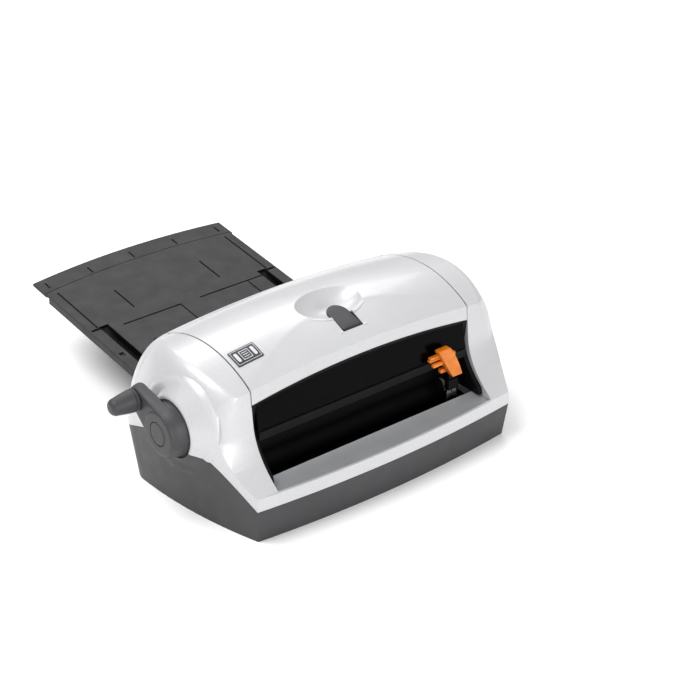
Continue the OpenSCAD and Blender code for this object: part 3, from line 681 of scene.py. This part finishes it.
def front_void(t):
    """Everything ahead of the cheeks and above the sill, moved in by t."""
    return prism(-FAR, FAR, [(AHEAD, SILL_Z - t), (SILL_Y + t, SILL_Z - t)]
                 + [(y + t, z - t / 2) for y, z in CHEEK_LINE[1:-1]]
                 + [(BROW_Y + t, BROW_TOP), (BROW_Y + t, FAR), (AHEAD, FAR)])


def below_seam(drop):
    """Everything below the line between pan and housing."""
    ys = [SEAM_START + i * 1.5 for i in range(37)] + [52 + i * 2.0 for i in range(68)]
    return prism(-FAR, FAR, [(AHEAD, -10), (AHEAD, SEAM_FRONT - drop)]
                 + [(y, seam_z(y) - drop) for y in ys]
                 + [(FAR, seam_z(186) - drop), (FAR, -10)])


BEVEL, BEVEL_FLAT = 9.0, 0.78           # width of the cheek's bevel, and how flat it is
BEVEL_ROWS, BEVEL_STEPS = 44, 10


def cheek_rounding(sign, depth=0.0):
    """What is cut off the outer edge of a cheek: a bevel that fades out at both ends.

    With a depth the same bevel lies that far inside, for the wall's inner surface.
    """
    zs, ys = [p[1] for p in CHEEK_LINE], [p[0] for p in CHEEK_LINE]

    def on_side(y, a):
        _, seam, crease = side_column(y, 0)
        return blend(seam, crease, a)

    rows = []
    lowest = math.asin(0.2)
    for i in range(BEVEL_ROWS + 1):
        a = lowest + (math.pi / 2 - lowest) * i / BEVEL_ROWS
        y = 0.0
        for _ in range(40):
            y = 0.5 * y + 0.5 * float(np.interp(on_side(y, a)[2], zs, ys))
        c = Vector(on_side(y, a))
        u = i / BEVEL_ROWS
        w = 0.05 + BEVEL * min(1.0, u / 0.16) ** 0.8 * min(1.0, (1 - u) / 0.42) ** 0.8
        s = Vector(on_side(y + w, a))
        face = Vector((c.x - w * 0.95, c.y, c.z))
        out = (c - (s + face) / 2).normalized()
        row = [s + out * 3]
        pull = c.lerp((s + face) / 2, BEVEL_FLAT)
        for k in range(BEVEL_STEPS + 1):
            t = k / BEVEL_STEPS
            row.append((1 - t) ** 2 * s + 2 * t * (1 - t) * pull + t * t * face)
        row += [face + out * 3, c + out * (4 + w)]
        row = [p - out * depth for p in row]
        rows.append([Vector((sign * p.x, p.y, p.z)) for p in row])
    return lofted(rows, flipped=True)


LID_LOW, LID_SHELF = 97.3, 48           # the lid's lower edge, and where it steps up to the brow


def lid_zone(gap):
    """The space of the lid: the housing is cleared by a gap, and the lid is kept to it."""
    x, low, brow = OPEN_HALF + gap, LID_LOW - gap, BROW_Z - 2
    return prism(-x, x, [(20, brow), (20, FAR), (FAR, FAR), (FAR, low), (LID_SHELF, low),
                         (LID_SHELF, brow)])


def both(shape):
    """Applies a builder to the right side and to its mirror image."""
    return [shape(1), shape(-1)]


outer = cut(form(0, True), front_void(0), *both(cheek_rounding))
inner = cut(form(WALL), front_void(WALL), *both(lambda s: cheek_rounding(s, WALL)))
shell = cut(copy(outer), inner)

DECK_HALF, DECK_BACK = 129.4, 19        # the output deck, in plan


def deck_front(x):
    """The line along which the deck meets the inside of the sill."""
    return -DRAFT * SEAM_FRONT - bow(x) + WALL + 0.4


def deck_outline(gap, z0, z1):
    """The deck's space between two heights, with a gap round it."""
    half, back, steps = DECK_HALF + gap, DECK_BACK + gap, 64
    xs = [half * (2 * i / steps - 1) for i in range(steps + 1)]
    return slab(z0, z1, [(x, deck_front(x) - gap) for x in xs] + [(half, back), (-half, back)])


def brow_edge(x):
    """The height of the brow's curved lower edge."""
    return BROW_Z + 9.5 * (1 - (x / OPEN_HALF) ** 2)


def brow_zone(low, drop, half, y0=20, y1=60):
    """What lies under the brow's curved edge, lowered by a drop."""
    line = [half * (2 * i / 60 - 1) for i in range(61)]
    return sheet_y(y0, y1, [(half, low), (-half, low)]
                   + [(x, brow_edge(x) - drop) for x in line])


SCREWS = [(-138, 24), (138, 24), (-158, 140), (158, 140)]
FEET = [(-128, 16), (128, 16), (-140, 160), (140, 160)]
HINGE_Y, HINGE_Z = 181.4, 96.4


def boss():
    """The cone round the crank, as (X, radius)."""
    return lathe([(-160, 52.0), (-167, 49.4), (-169.6, 46.6), (-180.6, 33.0), (-181.6, 31.9),
                  (-182.3, 30.9), (-182.5, 29.6)], CRANK_Y, CRANK_Z)


def dish():
    """The shallow dish in the boss that the crank's hub turns in."""
    return lathe([(-190, 28.9), (-182.0, 28.6), (-180.9, 28.0), (-180.2, 26.8)], CRANK_Y,
                 CRANK_Z)


def hinge_recess(gap):
    """A builder for the pocket that holds a lid hinge, for both()."""
    return lambda s: box_side(s, (96 - gap, HINGE_Y - 5, HINGE_Z - 5 - gap),
                              (120 + gap, HINGE_Y + 8, HINGE_Z + 8))


# Base: the dark pan with its floor, screw posts, foot recesses and the boss's lower half
PAN_FLOOR = 3
base = meet(copy(shell), below_seam(0))
join(base, meet(form(1), block((-200, -40, 0), (200, FAR, PAN_FLOOR))))
join(base, meet(cut(boss(), form(1)), below_seam(0)))
for x, y in SCREWS:
    join(base, post(x, y, 2, 28, 4.5))
cut(base, dish())
for x, y in SCREWS:
    cut(base, post(x, y, -1, 39, 1.9), post(x, y, -1, 3.8, 3.6))
for x, y in FEET:
    cut(base, post(x, y, -1, 1.5, 7))
piece(base, "base_pan_fine", "root", M["base_grey"], ["base_pan"])

# Upper housing: shoulders, cheeks, sill and rear wall
house = cut(copy(shell), lid_zone(0.7),
            block((-OPEN_HALF, AHEAD, SILL_Z), (OPEN_HALF, LID_SHELF, 150)))
ring = cut(meet(boss(), block((-190, 30, 30), (-160, 150, 160))), form(1))
join(house, ring)
cut(house, below_seam(-0.35), dish(), rod(-200, -160, CRANK_Y, CRANK_Z, 9),
    block((-122, 160, 44), (122, 200, 62)), deck_outline(0.2, SILL_Z - 6, SILL_Z + 4),
    *both(hinge_recess(0.4)))
for s in (1, -1):
    for x in (97.9, 112.2):
        cut(house, box_side(s, (x, 170, HINGE_Z - 12.1), (x + 5.9, 200, HINGE_Z)))
for s in (1, -1):
    join(house, meet(box_side(s, (OPEN_HALF, -6, 38), (OPEN_HALF + 2, 46, 140)),
                     cut(form(WALL + 0.3), front_void(0.3))))
for x, y in SCREWS:
    if y < CRANK_Y:
        tower = post(x, y, 30.3, 50.3, 6.2)
    else:
        rib = meet(box_side(math.copysign(1, x), (158, y - 1.5, 78), (189.6, y + 1.5, 92)),
                   form(1))
        tower = join(post(x, y, 30.3, 92.3, 6), rib)
    join(house, cut(tower, post(x, y, 0, 42, 1.6)))
piece(house, "upper_housing_fine", "root", M["pearl_housing"],
      ["upper_housing"])

# Lid: arched cover with its brow, finger scoop and hinge arms
SCOOP_Y = 85.0
SCOOP_AT = (0, SCOOP_Y, top_z(0, SCOOP_Y) + 27)    # middle of the ellipsoid that hollows it
SLOT_HALF, SLOT_FRONT, SLOT_BACK = 12, 48.2, 72    # the opening for the thumb tongue
LATCH_Y, LATCH_Z = 51.5, 147.6                     # the tongue's pivot
SIDE_NAMES = {1: "right", -1: "left"}
lid = meet(copy(shell), lid_zone(-0.65))
cut(lid, *both(hinge_recess(-1.5)))
join(lid, meet(meet(ellipsoid(SCOOP_AT, (52.0, 37.0, 42.5)), form(0.5)),
               block((-60, 40, 120), (60, 140, 180))))
for s in (1, -1):
    join(lid, box_side(s, (104, 176, 92.8), (112, 179.2, 108)),
         rod_side(s, 104, 112, HINGE_Y, HINGE_Z, 3.6, 48),
         box_side(s, (12.2, 47.5, 144.5), (15.4, 56, 151.0)))
cut(lid, ellipsoid(SCOOP_AT, (49.0, 34.0, 40), 200, 100),
    sheet_y(20, 60, [(140, 90), (-140, 90), (-140, BROW_Z)]
            + [(x * 2.6, brow_edge(x * 2.6)) for x in range(-50, 51)] + [(140, BROW_Z)]),
    block((-SLOT_HALF, SLOT_FRONT, 130), (SLOT_HALF, SLOT_BACK, 180)),
    block((-SLOT_HALF, 46.2, 130), (SLOT_HALF, 49.8, 148.6)))
for s in (1, -1):
    cut(lid, rod_side(s, 100, 116, HINGE_Y, HINGE_Z, 1.85, 32),
        rod_side(s, 11, 14.6, LATCH_Y, LATCH_Z, 1.5, 32))
piece(lid, "lid_shell_fine", "lid", M["pearl_housing"], ["lid_shell"])
# A black lining round the tongue's slot, inside the lid's wall: painted shade, so that the gap
# round the tongue reads as a dark shadow.
shade_liner = meet(cut(block((-12.3, 47.9, 143), (12.3, SLOT_BACK, 165)),
                 block((-11.6, 48.5, 130), (11.6, 90, 180))), form(2.1))
cut(shade_liner, ellipsoid(SCOOP_AT, (50.2, 35.2, 41.2)))
piece(shade_liner, "latch_slot_painted_shade", "lid", M["black_plastic"])
# A black strip in the gap beside each long edge of the lid: painted shade, so that the seam
# between lid and shoulder reads as a dark shadow line.
for s in (1, -1):
    seam_shade = meet(cut(form(0.9), form(WALL + 0.4)),
                box_side(s, (129.75, BROW_Y + 3, BROW_Z), (131.4, 163, 180)))
    piece(seam_shade, "lid_seam_shade_" + SIDE_NAMES[s], "root", M["black_plastic"])
for o in (outer, shell):
    bpy.data.objects.remove(o, do_unlink=True)


# ---------------------------------------------------------------- output deck and window
def deck():
    """The output deck: a thin tray with a shallow dip, bowed to the sill at the front."""
    rows = []
    dip = bezier((-16, SILL_Z - 0.4), (8, SILL_Z - 4), (DECK_BACK, SILL_Z + 0.4), 20)
    across, along = 48, 20
    for i in range(across + 1):
        x = DECK_HALF * (2 * i / across - 1)
        front = deck_front(x)
        line = [front + (DECK_BACK - front) * k / along for k in range(along + 1)]
        top = [(x, y, float(np.interp(y, [p[0] for p in dip], [p[1] for p in dip])))
               for y in line]
        under = [(x, y, SILL_Z - 5) for y in reversed(line)]
        rows.append(top + under)
    return lofted(rows, flipped=True)


piece(deck(), "output_deck_fine", "root", M["deck_silver"], ["output_deck"])

# The window's black frame: a curved header, its catch tab, and a side plate at each end
FRAME_FRONT, FRAME_BACK = 34.4, 41.5
surround = meet(cut(brow_zone(110, 0.6, 125.2, FRAME_FRONT, FRAME_BACK),
                    brow_zone(90, 3.2, 140)),
                block((-OPEN_HALF, FRAME_FRONT, 100), (OPEN_HALF, FRAME_BACK, 140)))
join(surround, block((-12, 38.6, 117), (12, FRAME_BACK, BROW_Z + 8)))
plate_line = ([(8, SILL_Z + 0.7)] + [(y + 5.5, z + 1) for y, z in CHEEK if y > 3]
              + [(33.6, BROW_Z - 0.6), (FRAME_BACK, BROW_Z - 0.6), (FRAME_BACK, SILL_Z + 0.7)])
for s in (1, -1):
    join(surround, prism(*sorted((s * 125.0, s * 129.6)), plate_line))
piece(surround, "window_frame_fine", "root", M["black_plastic"],
      ["window_frame"])

# ---------------------------------------------------------------- crank
HUB_IN, HUB_OUT, ARM_X = -181.2, -198.6, -187.5    # the hub's two faces, the arm's inner one
ARM_A, ARM_LENGTH = math.radians(29.4), 40.8
KNOB_Y = CRANK_Y + ARM_LENGTH * math.cos(ARM_A)
KNOB_Z = CRANK_Z + ARM_LENGTH * math.sin(ARM_A)


def arm_outline(r0, r1):
    """A circle at the hub, one at the knob, and the lines that touch both."""
    d = math.hypot(KNOB_Y - CRANK_Y, KNOB_Z - CRANK_Z)
    a = math.atan2(KNOB_Z - CRANK_Z, KNOB_Y - CRANK_Y)
    b = math.acos((r0 - r1) / d)
    n = 40
    pts = []
    for i in range(n + 1):
        t = a + b + (2 * math.pi - 2 * b) * i / n
        pts.append((CRANK_Y + r0 * math.cos(t), CRANK_Z + r0 * math.sin(t)))
    for i in range(n + 1):
        t = a - b + 2 * b * i / n
        pts.append((KNOB_Y + r1 * math.cos(t), KNOB_Z + r1 * math.sin(t)))
    return pts


def dome(x, depth, low, radius, angles):
    """A rounded end for a lathe profile: (X, radius) over a range of degrees."""
    return [(x - depth * math.sin(math.radians(a)), low + radius * math.cos(math.radians(a)))
            for a in angles]


hub = lathe([(HUB_IN, 26.1), (HUB_IN - 0.5, 26.5), (-184.0, 26.3), (-187.0, 25.9)]
            + [(-187.0 - 8.6 * t, 25.9 - 3.2 * t ** 1.6) for t in [i / 8 for i in range(1, 9)]]
            + dome(-195.6, 3.0, 19.0, 3.7, range(10, 91, 10)), CRANK_Y, CRANK_Z, 160)
# The arm's outline at several depths: X, and its radius at the hub and at the knob
arm_levels = [(ARM_X, 25.4, 12.8), (ARM_X - 0.9, 25.6, 13.3), (-190.5, 25.0, 13.3),
              (-193.5, 23.7, 12.8), (-196.0, 22.0, 12.1), (-197.2, 20.6, 11.2),
              (-197.75, 19.2, 9.8)]
join(hub, lofted([[(x, y, z) for y, z in arm_outline(r0, r1)] for x, r0, r1 in arm_levels]))
cut(hub, rod(HUB_OUT - 1, HUB_OUT + 1.6, CRANK_Y, CRANK_Z, 12.1),
    rod(HUB_OUT + 1, HUB_IN + 1, CRANK_Y, CRANK_Z, 4.0, 48),
    rod(HUB_OUT - 1, ARM_X + 1, KNOB_Y, KNOB_Z, 2.5, 48))
piece(hub, "crank_arm_fine", "crank", M["base_grey"], ["crank_arm"])
cap = lathe([(HUB_OUT + 1.55, 11.4), (HUB_OUT + 0.5, 11.4), (HUB_OUT + 0.1, 11.15),
             (HUB_OUT - 0.15, 10.6), (HUB_OUT - 0.3, 9.6), (HUB_OUT - 0.28, 5.0),
             (HUB_OUT - 0.25, 0)], CRANK_Y, CRANK_Z, 96)
piece(cap, "crank_cap_fine", "crank", M["base_grey"], ["crank_cap"])
K0 = HUB_OUT + 0.5      # the knob is measured out from here
knob = lathe([(K0 - 0.5, 0), (K0 - 0.5, 10.5), (K0 - 0.8, 10.9), (K0 - 1.6, 11.0),
              (K0 - 2.6, 10.9), (K0 - 3.0, 10.2), (K0 - 3.5, 10.2), (K0 - 3.9, 10.8)]
             + [(K0 - 4.3 - 17.2 * t, 10.95 - 2.55 * t ** 1.3) for t in
                [i / 16 for i in range(17)]]
             + dome(K0 - 21.5, 6, 2.4, 6, range(8, 91, 8))
             + [(K0 - 27.5, 1.2), (K0 - 27.5, 0)], KNOB_Y, KNOB_Z, 96)
cut(knob, rod(HUB_OUT - 20, HUB_OUT + 1, KNOB_Y, KNOB_Z, 2.55, 48))
piece(knob, "crank_knob_fine", "knob", M["base_grey"], ["crank_knob"])


# ---------------------------------------------------------------- latch
def tongue():
    """The thumb lever: a crowned strip with a round end that leans over the scoop."""
    front, back, half = 50.2, 72, 11.0
    along, around = 12, 36
    run = back - front
    outline = [(-half, front)] + [(-half, front + run * i / along) for i in range(1, along)]
    outline += [(half * math.cos(a), back + half * math.sin(a))
                for a in [math.pi - math.pi * i / around for i in range(around + 1)]]
    outline += [(half, front + run * i / along) for i in range(along - 1, 0, -1)]
    outline.append((half, front))

    def height(x, y):
        t = (y - front) / (back + half - front)
        return 153.4 + 6.6 * t + 0.6 * math.sin(math.pi * t) - 0.8 * (x / half) ** 2

    rings = []
    for shrink, drop in ((0.9, -3.0), (0.0, -2.2), (0.0, -1.1), (0.35, -0.35), (1.1, 0.0),
                         (4.0, 0.0), (7.5, 0.0)):
        ring = []
        for x, y in outline:
            cx, cy = 0.0, min(max(y, front + shrink), back)
            dx, dy = x - cx, y - cy
            length = math.hypot(dx, dy) or 1.0
            k = max(0.0, (length - shrink) / length)
            px, py = cx + dx * k, cy + dy * k
            ring.append((px, py, height(px, py) + drop))
        rings.append(ring)
    return lofted(rings)


HOOK_HALF, HOOK_LOW, HOOK_BACK = 6, 113.6, 52.6
lever = join(tongue(), rod(-9, 9, LATCH_Y, LATCH_Z, 2.8, 48),
             block((-HOOK_HALF, 50.4, HOOK_LOW), (HOOK_HALF, HOOK_BACK, 152)),
             block((-HOOK_HALF, 45.5, HOOK_LOW), (HOOK_HALF, HOOK_BACK, 116.6)))
cut(lever, rod(-12, 12, LATCH_Y, LATCH_Z, 1.55, 32))
piece(lever, "latch_lever_fine", "latch", M["base_grey"], ["latch_lever"])


# ---------------------------------------------------------------- badge
BADGE_X, BADGE_Y, BADGE_LIFT = -111.2, 66.7, 0.05     # its middle, and its height off the lid
BADGE_SLOPE, BADGE_CELL = 0.96, 1.2     # what the slope leaves of its depth; size of its mesh


def badge_frame(shape):
    """Lays a flat shape onto the lid's curve, X along the lid and Y towards the rear."""
    shape = subdivided(shape)
    for v in shape.data.vertices:
        x, y = BADGE_X + v.co.x, BADGE_Y + v.co.y * BADGE_SLOPE
        v.co = (x, y, sculpt((x, y, top_z(x, y)))[2] + BADGE_LIFT + v.co.z)
    return shape


def subdivided(shape):
    """Cuts a flat shape into cells small enough to follow a curve."""
    bm = bmesh.new()
    bm.from_mesh(shape.data)
    for axis, reach in ((0, 13), (1, 9)):
        for i in range(-reach, reach + 1):
            co, no = Vector((0, 0, 0)), Vector((0, 0, 0))
            co[axis], no[axis] = i * BADGE_CELL, 1
            bmesh.ops.bisect_plane(bm, geom=bm.verts[:] + bm.edges[:] + bm.faces[:],
                                   plane_co=co, plane_no=no)
    bm.to_mesh(shape.data)
    bm.free()
    return shape


def rounded(x0, y0, x1, y1, r):
    """A rectangle with round corners, anticlockwise from its right side."""
    line = []
    for x, y, start in ((x1 - r, y1 - r, 0), (x0 + r, y1 - r, 90), (x0 + r, y0 + r, 180),
                        (x1 - r, y0 + r, 270)):
        line += arc_points((x, y), r, start, start + 90, 8)
    return line


def mark(*rectangle):
    return slab(0.7, 0.92, rounded(*rectangle))


def hole(*rectangle):
    return slab(0.5, 2, rounded(*rectangle))


plate = soften(slab(0, 0.8, rounded(-14.2, -9.8, 14.2, 9.8, 1.2)), 0.2, 3)
piece(badge_frame(plate), "badge_plate_fine", "lid", M["badge"], ["badge_plate"])
marks = cut(mark(-12.9, -8.5, 12.9, 8.5, 0.8), hole(-12.4, -8.0, 12.4, 8.0, 0.6))
join(marks, cut(mark(-5.0, -5.6, 5.0, 5.6, 0.5), hole(-4.3, -4.9, 4.3, 4.9, 0.3)))
for row_y in (-2.6, 0.0, 2.6):
    join(marks, mark(-3.0, row_y - 0.4, 3.0, row_y + 0.4, 0.2))
for side in (-1, 1):
    join(marks, mark(side * 9 - 1.7, -5.6, side * 9 + 1.7, 5.6, 1.6))
piece(badge_frame(marks), "badge_marks", "lid", M["badge_ink"])

# ---------------------------------------------------------------- cutter
SLIDER_X = 104.0       # the slider at rest


def grip_shape():
    """The thumb grip: a wedge that leans forward and narrows to a rounded lower end."""
    rings = []
    levels, across = 20, 12
    for i in range(levels + 1):
        t = i / levels
        z = 106 - 28 * t
        left, right = -20 + 12 * t ** 1.1, -5 + 9 * t + 1.6 * math.sin(math.pi * t)
        near, far = 21.4 - 7.6 * t, 29.2 - 8.2 * max(0.0, (t - 0.35) / 0.65) ** 0.8
        dish_in = 0.9 * math.sin(math.pi * t)
        ring = []
        for k in range(across + 1):
            u = k / across
            ring.append((SLIDER_X + left + (right - left) * u,
                         near + dish_in * math.sin(math.pi * u), z))
        ring += [(SLIDER_X + right, far, z), (SLIDER_X + left, far, z)]
        rings.append(ring)
    return lofted(rings)


# The runner behind the grip and its four prongs: two corners and the edge radius of each
PRONGS = [((-10, 24.6, 82.4), (4, 29.2, 98), 0.8),
          ((-29, 24.4, 95.6), (-12, 29, 98.0), 0.9),
          ((-28.4, 24.2, 98.4), (-12, 29, 100.6), 0.8),
          ((-27, 21.2, 90.6), (-8, 26, 94.4), 1.2),
          ((-15, 24.2, 79.2), (-5, 29, 83.8), 1.2)]
grip = soften(grip_shape(), 1.1, 4, 35)
for a, b, edge in PRONGS:
    join(grip, soften(block((SLIDER_X + a[0], a[1], a[2]), (SLIDER_X + b[0], b[1], b[2])),
                      edge, 4, 40))
piece(grip, "cutter_slider_fine", "cutter", M["cutter_orange"],
      ["cutter_slider"])

# ---------------------------------------------------------------- feed tray
# The tray is built flat, with its hinge axis along X through the origin, and then laid
# at its slope on the machine's hinge.
TRAY_Y, TRAY_Z, TRAY_RISE = 190.0, 45.6, math.radians(6.56)
TRAY_HALF, TRAY_LEN, TRAY_BOW = 120, 250, 9
TRAY_SIDE = TRAY_HALF - 1.5                # half its width up to the corners
PLATE_LOW, PLATE_TOP = 1.6, 4.6
GUIDE_X, TICK_STEP = 107.5, 54.5           # the sheet's two guide lines, and the ticks
GROOVE_HALF, GROOVE_DEEP = 0.95, 2.2
ABOVE = 9                                  # past the tray's top, for shapes that cut it


def tray_edge(inset):
    """The bowed outer edge of the tray, moved in by inset."""
    line = []
    steps = 48
    for i in range(steps + 1):
        u = 2 * i / steps - 1
        line.append((TRAY_HALF * u, TRAY_LEN - inset + TRAY_BOW * (1 - u * u)))
    return line


def groove(x, y0, y1):
    return block((x - GROOVE_HALF, y0, PLATE_TOP - GROOVE_DEEP),
                 (x + GROOVE_HALF, y1, PLATE_TOP + 2))


tray_line = ([(-TRAY_SIDE, 6), (-TRAY_SIDE, TRAY_LEN - 28), (-TRAY_HALF, TRAY_LEN - 26)]
             + tray_edge(0)
             + [(TRAY_HALF, TRAY_LEN - 26), (TRAY_SIDE, TRAY_LEN - 28), (TRAY_SIDE, 6)])
tray = soften(slab(PLATE_LOW, PLATE_TOP, tray_line), 0.5, 3)
for s in (1, -1):
    # The side wall, the channel's walls, and the hinge arm with its eye
    join(tray, box_side(s, (TRAY_HALF - 4, 8, -4.4), (TRAY_SIDE - 0.05, TRAY_LEN - 30, 1.8)),
         box_side(s, (93, 68, -6), (108, 146, 1.8)), box_side(s, (96, -1, -4), (104, 12, 1.8)),
         rod_side(s, 96, 104, 0, 0, 5, 64))
    # The pin's bore, the channel, the slots beside it, the guide line and a short line
    cut(tray, rod_side(s, 95, 105, 0, 0, 2.55, 48),
        box_side(s, (95, 70, -4), (106, 144, ABOVE)),
        box_side(s, (109.6, 87, -6), (115, 93.6, ABOVE)),
        box_side(s, (105.5, 139.5, 2.4), (116.5, 142.5, ABOVE)),
        groove(s * GUIDE_X, TRAY_LEN - 107, TRAY_LEN - 29),
        groove(s * TICK_STEP, TRAY_LEN - 94, TRAY_LEN - 56))
for x in (-60, 0, 60):
    join(tray, block((x - 1, 14, -2.4), (x + 1, TRAY_LEN - 40, 1.8)))
for i in range(-2, 3):
    cut(tray, groove(i * TICK_STEP, TRAY_LEN - 12 - abs(i) * 2.5, TRAY_LEN - abs(i) * 3.2))
cut(tray, slab(PLATE_TOP - 0.7, PLATE_TOP + 2, tray_edge(23.6) + tray_edge(24.3)[::-1]),
    block((-82, 134, 2.9), (-10, 135.8, ABOVE)), block((-11.6, 102, 2.9), (-10, 135.8, ABOVE)),
    block((14, 134, 2.9), (99, 135.8, ABOVE)), block((74.4, 102, 2.9), (76.2, 135.8, ABOVE)),
    block((-71, 92, 2.6), (-64.5, 96, ABOVE)))


def lay_tray(o):
    o.data.transform(Matrix.Translation((0, TRAY_Y, TRAY_Z))
                     @ Matrix.Rotation(TRAY_RISE, 4, "X"))
    return o


piece(lay_tray(tray), "feed_tray_fine", "tray", M["tray_grey"], ["feed_tray"])
# A black lining in each side channel of the tray, with a ramp at its far end: painted shade, so
# that the channel reads as a deep dark hollow.
for s in (1, -1):
    shade_liner = cut(box_side(s, (95.05, 70.05, -3.95), (105.95, 143.95, 4.3)),
                box_side(s, (95.5, 70.5, -3.4), (105.5, 143.5, ABOVE)))
    ramp = [(124, -3.6), (143.8, -3.6), (143.8, 2.6)]
    join(shade_liner, prism(*sorted((s * 95.2, s * 105.8)), ramp))
    piece(lay_tray(shade_liner), "tray_channel_shade_" + SIDE_NAMES[s], "tray",
          M["black_plastic"])

# ---------------------------------------------------------------- floor, light, camera
# From here on lengths are in metres.
REACH = 9                                  # half the floor's side
floor_mesh = bpy.data.meshes.new("floor")
floor_mesh.from_pydata([(-REACH, -REACH, 0), (REACH, -REACH, 0), (REACH, REACH, 0),
                        (-REACH, REACH, 0)], [], [(0, 1, 2, 3)])
floor = bpy.data.objects.new("floor", floor_mesh)
bpy.context.scene.collection.objects.link(floor)
floor_mat, nt, shader, coord, _ = node_tree("floor_white")
nt.links.new(ramp_mix(nt, spread(nt, noise(nt, coord, 1.2, 2.0), 0.0, 1.0),
                      (0.965, 0.965, 0.965, 1), (0.985, 0.985, 0.985, 1)),
             shader.inputs["Base Color"])
shader.inputs["Roughness"].default_value = 0.9
shader.inputs["Specular IOR Level"].default_value = 0.1
floor_mesh.materials.append(floor_mat)

world = bpy.data.worlds.new("studio")
bpy.context.scene.world = world
world.use_nodes = True
sky = world.node_tree.nodes["Background"]
sky.inputs["Color"].default_value = (1, 1, 1, 1)
sky.inputs["Strength"].default_value = 0.52
bpy.context.scene.view_settings.view_transform = "Standard"


def softbox(name, at, towards, size, energy):
    """A rectangular light at one point, turned to face another."""
    light = bpy.data.lights.new(name, "AREA")
    light.shape, light.size, light.size_y = "RECTANGLE", size[0], size[1]
    light.energy = energy
    o = bpy.data.objects.new(name, light)
    o.location = at
    o.rotation_mode = "QUATERNION"
    o.rotation_quaternion = (Vector(towards) - Vector(at)).to_track_quat("-Z", "Y")
    bpy.context.scene.collection.objects.link(o)


softbox("key", (-1.0, 0.35, 2.2), (0, 0, 0.05), (1.5, 1.5), 50)
softbox("back", (0.9, 1.6, 1.9), (0, 0, 0.1), (2.2, 1.2), 28)
softbox("front", (-0.2, -2.4, 0.8), (0, -0.1, 0.08), (1.4, 1.2), 34)

cam_data = bpy.data.cameras.new("camera")
cam_data.sensor_width, cam_data.lens = 36.0, 100.2     # in millimetres
cam_data.clip_start, cam_data.clip_end = 0.05, 60
camera = bpy.data.objects.new("camera", cam_data)
stand = Vector((-0.9805, -1.4099, 1.0223))
back = Vector((-0.5465, -0.6796, 0.4894)).normalized()
right = Vector((0.7793, -0.6266, 0)).normalized()
up = back.cross(right)
camera.matrix_world = Matrix([(right[i], up[i], back[i], stand[i]) for i in range(3)]
                             + [(0, 0, 0, 1)])
bpy.context.scene.collection.objects.link(camera)
bpy.context.scene.camera = camera
